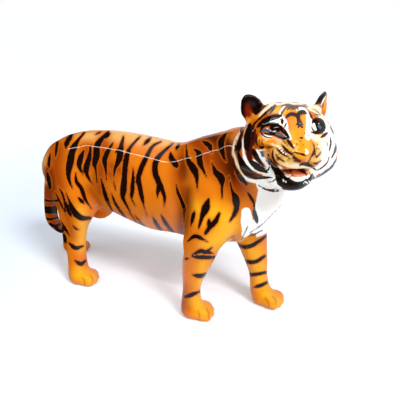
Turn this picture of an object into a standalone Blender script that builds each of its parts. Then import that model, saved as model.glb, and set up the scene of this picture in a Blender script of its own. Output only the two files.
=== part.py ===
"""Standing tiger, a china figure cast in one piece.

The tiger faces +X with its head turned to its own right, +Y is its left and +Z is up. The origin lies on the
surface that the paws stand on, under the middle of the figure. The body is built as a modeller builds it in
clay: plain masses are laid up, blended into one skin, then pressed and swelled into muscle, toes and face, and
the soles are cut flat. Sizes below are in millimetres.
"""

import math

import bmesh
import bpy
import numpy as np
from mathutils import Matrix, Vector

MM = 0.001

# Trunk: heights of the back and belly, and how far the body reaches
RUMP_END_X = -131.0
BREAST_X = 109.0
WITHERS_Z = 159.0
SADDLE_Z = 142.5
CROUP_Z = 145.5
BELLY_Z = 62.0
FLANK_Z = 70.0
HIP_FROM_RUMP = 58.0
WAIST_FROM_RUMP = 103.0
SADDLE_FROM_RUMP = 149.0
WITHERS_FROM_RUMP = 208.0
BARREL_HALF_WIDTH = 32.0
CHEST_HALF_WIDTH = 30.0
HIP_HALF_WIDTH = 28.0

# Legs: where each paw stands, and the joints' heights
NEAR_FORE_PAW = (49.5, -27.0)
FAR_FORE_PAW = (95.0, 21.0)
NEAR_HIND_PAW = (-76.0, -25.5)
FAR_HIND_PAW = (-129.0, 26.0)
SHOULDER_X = 60.0
HIP_X = -84.0
ELBOW_Z = 66.0
WRIST_Z = 27.0
STIFLE_Z = 76.0
HOCK_Z = 36.0
WRIST_RADIUS = 7.5
HOCK_RADIUS = 9.5

# Paws
PAW_LENGTH = 31.5
PAW_WIDTH = 24.0
PAW_HEIGHT = 13.3
NEAR_PAW_TURN_DEG = 24.0
TOE_LENGTH = 16.0
TOE_COUNT = 4

# Tail
TAIL_RADIUS = 7.2
TAIL_TIP_RADIUS = 5.4

# Head: its place, its turn, and the sizes of its features
HEAD_CENTRE = (115.3, -10.2, 163.7)
HEAD_TURN_DEG = -57.0
HEAD_TIP_DEG = -2.0
SKULL_TOP = 21.5
RUFF_HALF_WIDTH = 39.0
EYE_CENTRE = (25.0, 16.5, 7.0)
EYE_LENGTH = 17.0
EYE_HEIGHT = 10.0
EYE_TURN_DEG = 38.0
NOSE_REACH = 46.5
NOSE_HALF_WIDTH = 8.5
MUZZLE_SIDE = -1.2
MUZZLE_HALF_WIDTH = 18.0
LIP_Z = -18.5
MOUTH_GAP = 7.5
JAW_HALF_WIDTH = 13.5
EAR_CENTRE = (-4.0, 25.5, 17.0)
EAR_HEIGHT = 21.0
EAR_WIDTH = 19.0
EAR_THICKNESS = 7.0
NEAR_EAR_SPREAD_DEG = 30.0
FAR_EAR_SPREAD_DEG = 56.0
EAR_LEAN_DEG = 12.0

# Skin: how finely the blended clay is kept, and how far edges are rubbed down
CLAY_VOXEL = 1.6
FACE_VOXEL = 1.15
BODY_RUBS = 22
HEAD_RUBS = 16
LAST_RUBS = 2
TRIANGLES = 11400

CHINA_COLOUR = (0.87, 0.38, 0.05, 1.0)


def clear_scene():
    for thing in list(bpy.data.objects):
        bpy.data.objects.remove(thing)


def mm(*values):
    return Vector(values) * MM


def add_object(name, bm):
    """A new object that holds this mesh, with its faces pointing out."""
    bmesh.ops.recalc_face_normals(bm, faces=bm.faces)
    mesh = bpy.data.meshes.new(name)
    bm.to_mesh(mesh)
    bm.free()
    thing = bpy.data.objects.new(name, mesh)
    bpy.context.scene.collection.objects.link(thing)
    return thing


def smooth_between(sections, steps):
    """Rows of numbers between the given rows, on a Catmull-Rom curve through them."""
    rows = np.array(sections, float)
    padded = np.vstack([2 * rows[0] - rows[1], rows, 2 * rows[-1] - rows[-2]])
    found = []
    for i in range(len(rows) - 1):
        a, b, c, d = padded[i : i + 4]
        for k in range(steps):
            t = k / steps
            found.append(
                0.5 * (2 * b + (c - a) * t + (2 * a - 5 * b + 4 * c - d) * t**2 + (3 * b - a - 3 * c + d) * t**3)
            )
    found.append(rows[-1])
    return np.array(found)


def loft(name, sections, axis, sides=36, steps=6):
    """A closed body through oval sections. Each is (x, y, z, half size 1, half size 2), in millimetres.

    With axis "X" the ovals stand across the body, half sizes being width and height. With axis "Z" they lie
    flat, half sizes being along X and Y. With axis "PATH" they stand across the line of their centres.
    """
    rows = smooth_between(sections, steps)
    bm = bmesh.new()
    rings = []
    for i, (x, y, z, first, second) in enumerate(rows):
        if axis == "X":
            u, v = Vector((0, 1, 0)), Vector((0, 0, 1))
        elif axis == "Z":
            u, v = Vector((1, 0, 0)), Vector((0, 1, 0))
        else:
            along = Vector(rows[min(i + 1, len(rows) - 1)][:3] - rows[max(i - 1, 0)][:3]).normalized()
            v = (Vector((0, 0, 1)) - along * along.z).normalized() if abs(along.z) < 0.9 else Vector((1, 0, 0))
            u = along.cross(v).normalized()
            v = u.cross(along)
        place = Matrix((u * max(first, 0.5), v * max(second, 0.5), u.cross(v))).transposed().to_4x4()
        place.translation = Vector((x, y, z))
        made = bmesh.ops.create_circle(bm, segments=sides, radius=1.0, matrix=Matrix.Scale(MM, 4) @ place)
        rings.append({edge for vert in made["verts"] for edge in vert.link_edges})
    for one, other in zip(rings, rings[1:]):
        bmesh.ops.bridge_loops(bm, edges=list(one | other))
    bmesh.ops.holes_fill(bm, edges=[edge for edge in bm.edges if edge.is_boundary])
    return add_object(name, bm)


def ball(name, centre, radii, turn=None):
    """An ellipsoid at a place in millimetres, turned first by a matrix."""
    place = Matrix.Translation(mm(*centre)) @ (turn.to_4x4() if turn else Matrix())
    bm = bmesh.new()
    place @= Matrix.Diagonal((*radii, 1))
    bmesh.ops.create_uvsphere(bm, u_segments=32, v_segments=20, radius=MM, matrix=place)
    return add_object(name, bm)


def fuse(name, pieces, voxel, rubs):
    """One closed skin over all the pieces, with its edges rubbed down as wet clay is."""
    bm = bmesh.new()
    for piece in pieces:
        bm.from_mesh(piece.data)
        bpy.data.objects.remove(piece)
    thing = add_object(name, bm)
    skin = thing.modifiers.new("skin", "REMESH")
    skin.mode = "VOXEL"
    skin.voxel_size = voxel * MM
    rub = thing.modifiers.new("rub", "SMOOTH")
    rub.factor = 0.5
    rub.iterations = rubs
    settle(thing)
    return thing


def settle(thing):
    """Applies the object's modifiers to its own mesh."""
    graph = bpy.context.evaluated_depsgraph_get()
    mesh = bpy.data.meshes.new_from_object(thing.evaluated_get(graph))
    thing.modifiers.clear()
    thing.data = mesh


class Clay:
    """The skin's points, ready to be pressed in and swelled out along strokes."""

    def __init__(self, thing):
        self.mesh = thing.data
        self.points = np.empty(len(self.mesh.vertices) * 3)
        self.mesh.vertices.foreach_get("co", self.points)
        self.points = self.points.reshape(-1, 3)
        self.refresh()

    def refresh(self):
        self.mesh.vertices.foreach_set("co", self.points.ravel())
        self.mesh.update()
        self.normals = np.empty(len(self.points) * 3)
        self.mesh.vertex_normals.foreach_get("vector", self.normals)
        self.normals = self.normals.reshape(-1, 3)

    def distance(self, path):
        """Each point's distance to a line of points."""
        path = np.array([tuple(p) for p in path], float)
        if len(path) == 1:
            path = np.vstack([path, path + 1e-7])
        best = np.full(len(self.points), 1e9)
        for a, b in zip(path, path[1:]):
            step = b - a
            t = np.clip((self.points - a) @ step / (step @ step), 0, 1)
            best = np.minimum(best, np.linalg.norm(self.points - a - t[:, None] * step, axis=1))
        return best

    def stroke(self, path, width, height, direction=None):
        """Raises the skin by height, or presses it in where height is negative, within width of the path."""
        share = np.clip(1 - (self.distance(path) / (width * MM)) ** 2, 0, 1) ** 2
        way = self.normals if direction is None else np.array(direction)[None, :]
        self.points += way * (share * height * MM)[:, None]


def trunk():
    """Barrel, rump and breast, as ovals across the body from the rump forward."""
    rump_top, rump_low, rump_wide = CROUP_Z - CROUP_Z / 11, FLANK_Z * 1.08, HIP_HALF_WIDTH
    waist_wide = (HIP_HALF_WIDTH + BARREL_HALF_WIDTH) / 2
    front_wide = (BARREL_HALF_WIDTH + CHEST_HALF_WIDTH) / 2
    hip_x, waist_x = RUMP_END_X + HIP_FROM_RUMP, RUMP_END_X + WAIST_FROM_RUMP
    saddle_x, withers_x = RUMP_END_X + SADDLE_FROM_RUMP, RUMP_END_X + WITHERS_FROM_RUMP
    breast = BREAST_X - withers_x
    rump_middle = (rump_top + rump_low) / 2
    top_and_bottom = [
        (RUMP_END_X, rump_middle + CROUP_Z * 0.056, rump_middle - CROUP_Z * 0.054, rump_wide * 0.29),
        (RUMP_END_X + HIP_FROM_RUMP * 0.12, CROUP_Z * 0.84, rump_low * 1.13, rump_wide * 0.61),
        (RUMP_END_X + HIP_FROM_RUMP * 0.345, rump_top, rump_low, rump_wide * 0.86),
        (RUMP_END_X + HIP_FROM_RUMP * 0.655, CROUP_Z * 0.955, FLANK_Z * 1.03, rump_wide),
        (hip_x, CROUP_Z * 0.986, FLANK_Z, rump_wide * 1.035),
        ((hip_x + waist_x) / 2, CROUP_Z, FLANK_Z, waist_wide * 0.97),
        (waist_x, CROUP_Z, BELLY_Z * 0.65 + FLANK_Z * 0.35, BARREL_HALF_WIDTH * 0.955),
        ((waist_x + saddle_x) / 2, (CROUP_Z + SADDLE_Z) / 2, BELLY_Z * 0.98, BARREL_HALF_WIDTH),
        (saddle_x, SADDLE_Z, BELLY_Z, BARREL_HALF_WIDTH),
        (saddle_x * 0.68 + withers_x * 0.32, SADDLE_Z * 0.6 + WITHERS_Z * 0.4, BELLY_Z * 0.985, front_wide),
        (saddle_x * 0.32 + withers_x * 0.68, SADDLE_Z * 0.12 + WITHERS_Z * 0.88, BELLY_Z, CHEST_HALF_WIDTH),
        (withers_x, WITHERS_Z, BELLY_Z * 1.05, CHEST_HALF_WIDTH * 0.97),
        (BREAST_X - breast * 0.56, WITHERS_Z * 0.95, BELLY_Z * 1.145, CHEST_HALF_WIDTH * 0.87),
        (BREAST_X - breast * 0.22, WITHERS_Z * 0.86, BELLY_Z * 1.27, CHEST_HALF_WIDTH * 0.7),
        (BREAST_X, WITHERS_Z * 0.75, BELLY_Z * 1.48, CHEST_HALF_WIDTH * 0.4),
    ]
    sections = [(x, 0, (top + low) / 2, wide, (top - low) / 2) for x, top, low, wide in top_and_bottom]
    return loft("trunk", sections, "X")


def neck():
    """The neck, from between the shoulders to the back of the turned head."""
    x, y, z = HEAD_CENTRE
    sections = [
        (SHOULDER_X - 6, 0, z - 44, 22, 24),
        (SHOULDER_X + 14, -1, z - 36, 27, 33),
        (SHOULDER_X + 30, -1, z - 30, 27, 32),
        (x - 16, y + 8, z - 24, 23, 27),
        (x - 6, y + 5, z - 20, 19, 22),
    ]
    return loft("neck", sections, "PATH")


def leg(name, sections, paw):
    """A leg through its joints from the top down. Each joint is (x, y, z, half length, half width)."""
    pieces = [loft(name, sections, "Z")]
    x, y = paw
    half_length, half_width = PAW_LENGTH / 2, PAW_WIDTH / 2
    turn = Matrix.Rotation(math.radians(NEAR_PAW_TURN_DEG if y < 0 else 0), 3, "Z")
    pad, instep = (half_length - 3, half_width - 0.5), (half_length - 5.5, half_width - 3)
    pieces.append(ball("pad", (x - 2, y, PAW_HEIGHT * 0.36), (*pad, PAW_HEIGHT * 0.62), turn))
    pieces.append(ball("instep", (x - 5, y, PAW_HEIGHT * 0.66), (*instep, PAW_HEIGHT * 0.55), turn))
    return pieces


def legs():
    """All four legs as sections of joints, near side first. Near is the tiger's right."""
    wrist, hock = WRIST_RADIUS, HOCK_RADIUS
    arm, thigh = WITHERS_Z - ELBOW_Z, CROUP_Z - STIFLE_Z
    x, y = NEAR_FORE_PAW
    near_fore = [
        (SHOULDER_X - 2, y + 8, ELBOW_Z + arm * 0.71, 14, 9),
        (SHOULDER_X - 1, y + 6, ELBOW_Z + arm * 0.54, 21, 12),
        (SHOULDER_X, y + 3, ELBOW_Z + arm * 0.32, 23, 14.5),
        (SHOULDER_X - 1.5, y + 1, ELBOW_Z + arm * 0.13, 20.5, 14.5),
        (x + 4.5, y, ELBOW_Z, 16.5, 13.5),
        (x + 1, y, (ELBOW_Z * 2 + WRIST_Z) / 3, 13.8, 12),
        (x - 2.5, y, (ELBOW_Z + WRIST_Z * 2) / 3, 10.8, 10.5),
        (x - 5, y, WRIST_Z, wrist + 0.5, wrist + 1),
        (x - 5.5, y, WRIST_Z - 10, wrist + 1, wrist + 1.5),
        (x - 5.5, y - 0.5, 8, wrist + 1.5, wrist + 2.5),
    ]
    x, y = FAR_FORE_PAW
    far_fore = [
        (SHOULDER_X + 2, y - 7, ELBOW_Z + arm * 0.71, 14, 9),
        (SHOULDER_X + 6, y - 5, ELBOW_Z + arm * 0.54, 21, 12),
        (SHOULDER_X + 10, y - 2, ELBOW_Z + arm * 0.32, 23, 14.5),
        (SHOULDER_X + 12, y, ELBOW_Z + arm * 0.13, 20, 14),
        (SHOULDER_X + 13, y + 1, ELBOW_Z, 18.5, 13.5),
        (x - 17, y + 2, (ELBOW_Z * 2 + WRIST_Z) / 3, 14, 12),
        (x - 13, y + 1.5, (ELBOW_Z + WRIST_Z * 2) / 3, 11, 10.5),
        (x - 10, y + 1, WRIST_Z, wrist + 1, wrist + 1),
        (x - 8.5, y + 1, WRIST_Z - 10, wrist + 1.5, wrist + 1.5),
        (x - 7, y + 1, 8, wrist + 2, wrist + 2),
    ]
    x, y = NEAR_HIND_PAW
    near_hind = [
        (HIP_X - 6, y + 15, STIFLE_Z + thigh * 0.78, 15, 7),
        (HIP_X - 3, y + 8, STIFLE_Z + thigh * 0.575, 24, 11.5),
        (HIP_X - 1, y + 4, STIFLE_Z + thigh * 0.345, 25, 15),
        (HIP_X + 4, y + 2, STIFLE_Z + thigh * 0.144, 24, 15),
        (HIP_X + 6, y + 1, STIFLE_Z - 3, 20.5, 13.5),
        (x - 5, y, (STIFLE_Z + HOCK_Z) / 2 + 2, 14, 11.5),
        (x - 4, y, HOCK_Z + 9, hock, hock),
        (x - 6, y, HOCK_Z, hock + 1, hock - 0.5),
        (x - 5.5, y, HOCK_Z - 10, hock, hock - 0.5),
        (x - 4.5, y - 0.5, 16, hock, hock + 0.5),
        (x - 4.5, y - 0.5, 8, hock + 0.5, hock + 1.5),
    ]
    x, y = FAR_HIND_PAW
    far_hind = [
        (HIP_X - 8, y - 16, STIFLE_Z + thigh * 0.78, 15, 7),
        (HIP_X - 8, y - 9, STIFLE_Z + thigh * 0.575, 24, 11.5),
        (HIP_X - 10, y - 5, STIFLE_Z + thigh * 0.345, 25, 15),
        (HIP_X - 13, y - 3, STIFLE_Z + thigh * 0.144, 23, 15),
        (HIP_X - 20, y - 2, STIFLE_Z - 3, 19.5, 13.5),
        (x + 10, y - 1, (STIFLE_Z + HOCK_Z) / 2 + 2, 14, 11.5),
        (x - 1, y, HOCK_Z + 9, hock + 1, hock),
        (x - 6, y, HOCK_Z, hock + 1, hock - 0.5),
        (x - 6, y, HOCK_Z - 10, hock, hock - 0.5),
        (x - 4, y, 16, hock + 0.5, hock + 0.5),
        (x - 3, y, 8, hock + 1, hock + 1),
    ]
    return (
        leg("near_fore", near_fore, NEAR_FORE_PAW)
        + leg("far_fore", far_fore, FAR_FORE_PAW)
        + leg("near_hind", near_hind, NEAR_HIND_PAW)
        + leg("far_hind", far_hind, FAR_HIND_PAW)
    )


def belly_fold():
    """The fold of loose skin under the belly, ahead of the hind legs."""
    x, z = RUMP_END_X + HIP_FROM_RUMP, FLANK_Z * 0.9
    return [ball("fold", (x, 0, z), (13, 6, 7)), ball("fold", (x + 9, 0, z + 3), (10, 4.5, 5))]


def tail():
    """The tail hangs behind the rump and its tip is joined to the far hock, as the casting needs."""
    thick, tip = TAIL_RADIUS, TAIL_TIP_RADIUS
    x, y = FAR_HIND_PAW
    root_z, low_z = CROUP_Z * 0.83, HOCK_Z * 1.15
    drop = root_z - low_z
    sections = [
        (RUMP_END_X + thick * 2.5, 0, root_z, thick * 1.45, thick * 1.45),
        (RUMP_END_X + thick * 1.25, 1, root_z - drop * 0.08, thick * 1.25, thick * 1.25),
        (RUMP_END_X + thick * 0.4, 2, root_z - drop * 0.25, thick * 1.1, thick * 1.1),
        (RUMP_END_X - thick * 0.2, 3, root_z - drop * 0.42, thick, thick),
        (RUMP_END_X - thick * 0.6, 3.5, root_z - drop * 0.59, thick, thick),
        (RUMP_END_X - thick, 4, root_z - drop * 0.85, thick, thick),
        (RUMP_END_X - thick, 5, low_z, thick * 0.97, thick * 0.97),
        (RUMP_END_X - thick * 0.5, y - thick * 2.5, HOCK_Z * 0.94, thick * 0.88, thick * 0.88),
        (x, y - thick * 1.8, HOCK_Z * 0.75, tip, tip),
    ]
    return loft("tail", sections, "PATH", sides=20)


def toes(paw):
    """The toes of one paw, side by side round its front. The near paws are turned in a little."""
    x, y = paw
    turn_in = math.radians(NEAR_PAW_TURN_DEG if y < 0 else 0)
    toe_width = PAW_WIDTH / TOE_COUNT * 0.7
    pieces = []
    for k in range(TOE_COUNT):
        side = (k - (TOE_COUNT - 1) / 2) / ((TOE_COUNT - 1) / 2)
        ahead = PAW_LENGTH / 2 - TOE_LENGTH / 2 - 2.4 * side * side
        aside = side * (PAW_WIDTH / 2 - toe_width)
        centre = (
            x + ahead * math.cos(turn_in) - aside * math.sin(turn_in),
            y + ahead * math.sin(turn_in) + aside * math.cos(turn_in),
            PAW_HEIGHT * 0.33,
        )
        turn = Matrix.Rotation(turn_in + side * 0.16, 3, "Z") @ Matrix.Rotation(0.12, 3, "Y")
        pieces.append(ball("toe", centre, (TOE_LENGTH / 2, toe_width, PAW_HEIGHT * 0.46), turn))
    return pieces


def press_body(clay):
    """Muscles and folds of the body, on both sides: shoulder, ribs, flank, thigh, heel cords and spine."""
    fore = ((NEAR_FORE_PAW, -1), (FAR_FORE_PAW, 1))
    hind = ((NEAR_HIND_PAW, -1), (FAR_HIND_PAW, 1))
    for (paw_x, _), side in fore:
        wide = CHEST_HALF_WIDTH * side
        lean = (paw_x - SHOULDER_X) * 0.25
        back = [(-22, 62), (-27, 36), (-25, 12), (-20 + lean, -4)]
        clay.stroke([mm(SHOULDER_X + x, wide, ELBOW_Z + z) for x, z in back], 9, -1.6)
        blade = [(SHOULDER_X - 10, 78), (SHOULDER_X - 2, 52), (SHOULDER_X + 8, 30)]
        clay.stroke([mm(x, wide * 0.8, ELBOW_Z + z) for x, z in blade], 13, 1.6)
        arm = [(SHOULDER_X + 22, 38), (SHOULDER_X + 16, 18), (SHOULDER_X + 8 + lean, 2)]
        clay.stroke([mm(x, wide * 0.9, ELBOW_Z + z) for x, z in arm], 9, -1.2)
        clay.stroke([mm(SHOULDER_X - 14 + lean, wide, ELBOW_Z + 4)], 11, 1.6)
    for (paw_x, _), side in hind:
        wide = HIP_HALF_WIDTH * side
        lean = (paw_x - HIP_X) * 0.4
        front = [(HIP_X + 20, 58), (HIP_X + 27, 36), (HIP_X + 24, 14), (HIP_X + 21 + lean, 0)]
        clay.stroke([mm(x, wide, STIFLE_Z + z) for x, z in front], 9, -1.6)
        thigh = [(HIP_X - 20 + lean, 26), (HIP_X + 4, 12)]
        clay.stroke([mm(x, wide * 1.1, STIFLE_Z + z) for x, z in thigh], 15, 1.4)
        clay.stroke([mm(HIP_X - 12 + lean, wide, STIFLE_Z - 4), mm(paw_x - 12, wide, HOCK_Z + 10)], 6, -1.0)
    spine = [(RUMP_END_X + 30, CROUP_Z - 8), (RUMP_END_X + 80, CROUP_Z + 1), (0, SADDLE_Z + 1), (40, WITHERS_Z - 6)]
    clay.stroke([mm(x, 0, z) for x, z in spine], 9, 0.8)
    for x in (-22, -8, 6, 20):
        for side in (-1, 1):
            top, low = (BELLY_Z * (1 - share) + SADDLE_Z * share for share in (0.62, 0.3))
            rib = [mm(x, BARREL_HALF_WIDTH * side, top), mm(x - 7, BARREL_HALF_WIDTH * side, low)]
            clay.stroke(rib, 6, 0.5)
    clay.refresh()


class Head:
    """The head's own frame: x forward to the nose, y to the tiger's left, z up, from the middle of the skull."""

    turn = Matrix.Rotation(math.radians(HEAD_TURN_DEG), 3, "Z") @ Matrix.Rotation(math.radians(HEAD_TIP_DEG), 3, "Y")

    def place(self, x, y, z):
        """A point of the head as world millimetres."""
        return tuple(self.turn @ Vector((x, y, z)) + Vector(HEAD_CENTRE))

    def ball(self, name, centre, radii, turn=None):
        return ball(name, self.place(*centre), radii, self.turn @ turn if turn else self.turn)

    def direction(self, x, y, z):
        return (self.turn @ Vector((x, y, z))).normalized()

    def masses(self):
        """Skull with its ruff, cheeks, bridge, muzzle and jaw."""
        muzzle, jaw, ruff, top = MUZZLE_HALF_WIDTH, JAW_HALF_WIDTH, RUFF_HALF_WIDTH, SKULL_TOP
        lip_z, aside = LIP_Z + 7.5, MUZZLE_SIDE
        sections = [
            (-3, 0, top, 5, 8),
            (-2, 0, top - 2, 15, 17),
            (0, 0, top - 7, 22, ruff - 14.5),
            (2, 0, top - 14.5, 27, ruff - 9),
            (2, 0, 0, 27, ruff - 5),
            (1, 0, -8, 25.5, ruff - 2.5),
            (0, 0, -16, 24, ruff - 0.5),
            (-1, 0, -24, 22, ruff - 1),
            (-3, 0, -31, 18.5, ruff - 7),
            (-4, 0, -36, 13, ruff - 16),
            (-5, 0, -38.5, 6, 10),
        ]
        skull = loft("skull", sections, "Z", sides=48)
        skull.data.transform(Matrix.Translation(mm(*HEAD_CENTRE)) @ self.turn.to_4x4())
        pieces = [
            skull,
            self.ball("bridge", (NOSE_REACH - 15.5, aside, 2.5), (15.5, 11, 6.5), Matrix.Rotation(0.7, 3, "Y")),
            self.ball("jaw", (16.5, aside, LIP_Z - MOUTH_GAP - 4.9), (18, jaw + 0.5, 6.8)),
            self.ball("throat", (2, 0, -27), (20, 18, 11)),
            self.ball("lip_middle", (NOSE_REACH - 15.5, aside, lip_z - 0.5), (13, 9, 7.5)),
        ]
        for side in (-1, 1):
            pieces += [
                self.ball("lip", (NOSE_REACH - 17, aside + side * (muzzle - 9.5), lip_z), (13, 9.5, 8.5)),
                self.ball("whisker_pad", (NOSE_REACH - 22, aside + side * (muzzle - 8), -6), (13, 10, 10)),
                self.ball("under_eye", (14, side * 15, -3), (12, 12, 11)),
                self.ball("brow", (15, side * 12, 12.5), (9, 9, 5.5)),
                self.ball("jaw_side", (15, aside + side * (jaw - 2), LIP_Z - 8.5), (13, 5.5, 8.5)),
            ]
        return pieces

    def mouth(self):
        """The hollow of the open mouth, to be cut out."""
        gap = MOUTH_GAP
        centre = (NOSE_REACH - 14, MUZZLE_SIDE, LIP_Z - gap / 2)
        return self.ball("mouth", centre, (19, JAW_HALF_WIDTH - 0.5, gap / 2 + 0.8))

    def press_sockets(self, clay):
        """The hollows that the eyes are set in."""
        x, y, z = EYE_CENTRE
        for side in (-1, 1):
            socket = [self.place(x + 2, side * (y - 4), z - 1), self.place(x - 4, side * (y + 4), z)]
            clay.stroke([mm(*place) for place in socket], EYE_LENGTH / 2 + 1.5, -3.0)
        clay.refresh()

    def fine_pieces(self):
        """Nose, eyes, tongue, teeth and ears, laid on after the face is rubbed smooth."""
        reach, jaw_top, aside = NOSE_REACH, LIP_Z - MOUTH_GAP, MUZZLE_SIDE
        x, y, z = EYE_CENTRE
        pieces = [
            self.ball("nose", (reach - 6.8, aside, -7.2), (6.8, NOSE_HALF_WIDTH, 5.4)),
            self.ball("tongue", (reach - 22, aside, jaw_top + 1.6), (11, JAW_HALF_WIDTH - 6.5, 3.0)),
        ]
        for k in range(5):
            side = (k - 2) / 2
            tooth_x = reach - 14 - 3.5 * side * side
            tall = 3.4 if abs(side) == 1 else 1.8
            tooth_y = aside + side * (JAW_HALF_WIDTH - 5.5)
            pieces.append(self.ball("tooth", (tooth_x, tooth_y, jaw_top + 0.6), (1.7, 2.1, tall)))
        for side in (-1, 1):
            turn = Matrix.Rotation(math.radians(EYE_TURN_DEG) * side, 3, "Z")
            half_sizes = (6.5, EYE_LENGTH / 2, EYE_HEIGHT / 2 + 0.3)
            pieces.append(self.ball("eye", (x - 7, side * y, z), half_sizes, turn))
        return pieces + self.ears()

    def ears(self):
        """Round ears low on the sides of the skull, turned out."""
        pieces = []
        x, y, z = EAR_CENTRE
        for side in (-1, 1):
            turn = Matrix.Rotation(self.ear_spread(side), 3, "Z")
            turn @= Matrix.Rotation(math.radians(-EAR_LEAN_DEG) * side, 3, "X")
            half_sizes = (EAR_THICKNESS / 2, EAR_WIDTH / 2, EAR_HEIGHT / 2)
            pieces.append(self.ball("ear", (x, side * y, z), half_sizes, turn))
        return pieces

    def ear_spread(self, side):
        """How far an ear is turned out. The far ear, on the tiger's left, is turned further than the near one."""
        return math.radians(FAR_EAR_SPREAD_DEG if side > 0 else NEAR_EAR_SPREAD_DEG) * side

    def press_face(self, clay):
        """Eye sockets, lids, nostrils, the split lip, the hollow ears and the crease behind the ruff."""

        def path(side, *points):
            return [mm(*self.place(x, y * side, z)) for x, y, z in points]

        x, y, z = EYE_CENTRE
        half, tall = EYE_LENGTH / 2, EYE_HEIGHT / 2
        for side in (-1, 1):
            inner, outer = (x + 1, y - half, z - 2.5), (x - 11, y + half - 1, z + 1)
            upper = path(side, inner, (x - 0.5, y - 3.5, z + tall), (x - 4.5, y + 3, z + tall + 0.8), outer)
            lower = path(side, inner, (x - 0.5, y - 3.5, z - tall - 1), (x - 4.5, y + 3, z - tall), outer)
            out = self.direction(1, 0.7 * side, 0.1)
            clay.stroke(upper, 2.6, 1.4, out)
            clay.stroke(lower, 2.4, 0.8, out)
            nostril = MUZZLE_SIDE * side + NOSE_HALF_WIDTH
            hole = [(NOSE_REACH - 1, nostril - 3.5, -10), (NOSE_REACH - 4, nostril - 1, -8)]
            clay.stroke(path(side, *hole), 2.4, -1.2)
            spread = self.ear_spread(side)
            inward = self.direction(-math.cos(spread), -math.sin(spread), 0)
            ear = Vector((EAR_CENTRE[0] + 3, EAR_CENTRE[1], EAR_CENTRE[2]))
            clay.stroke(path(side, ear, ear - Vector((0, 1, 7))), EAR_WIDTH * 0.42, 3.2, inward)
            ruff = RUFF_HALF_WIDTH
            rim = [(-2, ruff - 4, 4), (-3, ruff, -8), (-3, ruff, -20), (-3, ruff - 7, -31), (-4, ruff - 17, -37)]
            clay.stroke(path(side, *rim), 5.5, 1.1)
        beside = [(-7, ruff + 2, 8), (-8, ruff + 6, -6), (-8, ruff + 6, -20), (-7, ruff, -33), (-6, ruff - 12, -41)]
        clay.stroke(path(-1, *beside), 6.5, -2.8)
        clay.stroke(path(1, (NOSE_REACH, MUZZLE_SIDE, -12), (NOSE_REACH - 4, MUZZLE_SIDE, LIP_Z)), 1.8, -0.8)
        clay.refresh()


def cut_away(thing, cutter):
    """Cuts the shape of the cutter out of the thing."""
    cutter.hide_render = True
    cutter.display_type = "WIRE"
    cut = thing.modifiers.new("cut", "BOOLEAN")
    cut.operation = "DIFFERENCE"
    cut.solver = "EXACT"
    cut.object = cutter
    settle(thing)
    bpy.data.objects.remove(cutter)


def cut_soles_flat(thing):
    """Cuts away all that lies below the ground, and closes the four soles."""
    bm = bmesh.new()
    bm.from_mesh(thing.data)
    everything = list(bm.verts) + list(bm.edges) + list(bm.faces)
    bmesh.ops.bisect_plane(bm, geom=everything, plane_co=(0, 0, 0), plane_no=(0, 0, -1), clear_outer=True)
    bmesh.ops.holes_fill(bm, edges=[edge for edge in bm.edges if edge.is_boundary])
    bm.to_mesh(thing.data)
    bm.free()


def thin_out(thing, triangles):
    """Fewer triangles, most of them kept where the form turns sharply."""
    thing.data.calc_loop_triangles()
    thinner = thing.modifiers.new("thinner", "DECIMATE")
    thinner.ratio = triangles / len(thing.data.loop_triangles)
    settle(thing)


def centre_on_ground(thing):
    """Puts the origin under the middle of the figure, on the ground."""
    corners = np.array([vert.co[:] for vert in thing.data.vertices])
    middle = (corners.min(axis=0) + corners.max(axis=0)) / 2
    thing.data.transform(Matrix.Translation((-middle[0], -middle[1], -corners[:, 2].min())))


def china():
    """Glazed earthenware in the colour of the tiger's coat."""
    material = bpy.data.materials.new("glazed_china")
    material.use_nodes = True
    shader = material.node_tree.nodes["Principled BSDF"]
    shader.inputs["Base Color"].default_value = CHINA_COLOUR
    shader.inputs["Roughness"].default_value = 0.08
    shader.inputs["Metallic"].default_value = 0.0
    return material


def build():
    clear_scene()
    head = Head()
    body = fuse("body", [trunk(), neck(), tail(), *belly_fold(), *legs()], CLAY_VOXEL, BODY_RUBS)
    face = fuse("face", head.masses(), FACE_VOXEL, HEAD_RUBS)
    paws = [piece for paw in (NEAR_FORE_PAW, FAR_FORE_PAW, NEAR_HIND_PAW, FAR_HIND_PAW) for piece in toes(paw)]
    head.press_sockets(Clay(face))
    cut_away(face, head.mouth())
    figure = fuse("tiger_figurine", [body, face, *paws, *head.fine_pieces()], FACE_VOXEL, LAST_RUBS)
    clay = Clay(figure)
    press_body(clay)
    head.press_face(clay)
    cut_soles_flat(figure)
    thin_out(figure, TRIANGLES)
    centre_on_ground(figure)
    figure.data.shade_smooth()
    figure.data.materials.append(china())
    return figure


build()
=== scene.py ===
# %% [markdown]
# # A standing tiger in painted china
# This lesson dresses a plain model of a china tiger. The real one is cast in white earthenware, painted
# by hand with oxide colours and dipped in a clear glaze that fires to a wet shine. We take the packed
# model as a fixed frame, make a finer skin over it, draw the ear tips out as a thumb would in clay, paint
# it with brush strokes, and set it on a pale table in soft light.

# %% Load the model
import math
from functools import partial

import bpy
import numpy as np
from mathutils import Matrix, Vector
from mathutils.bvhtree import BVHTree


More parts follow.
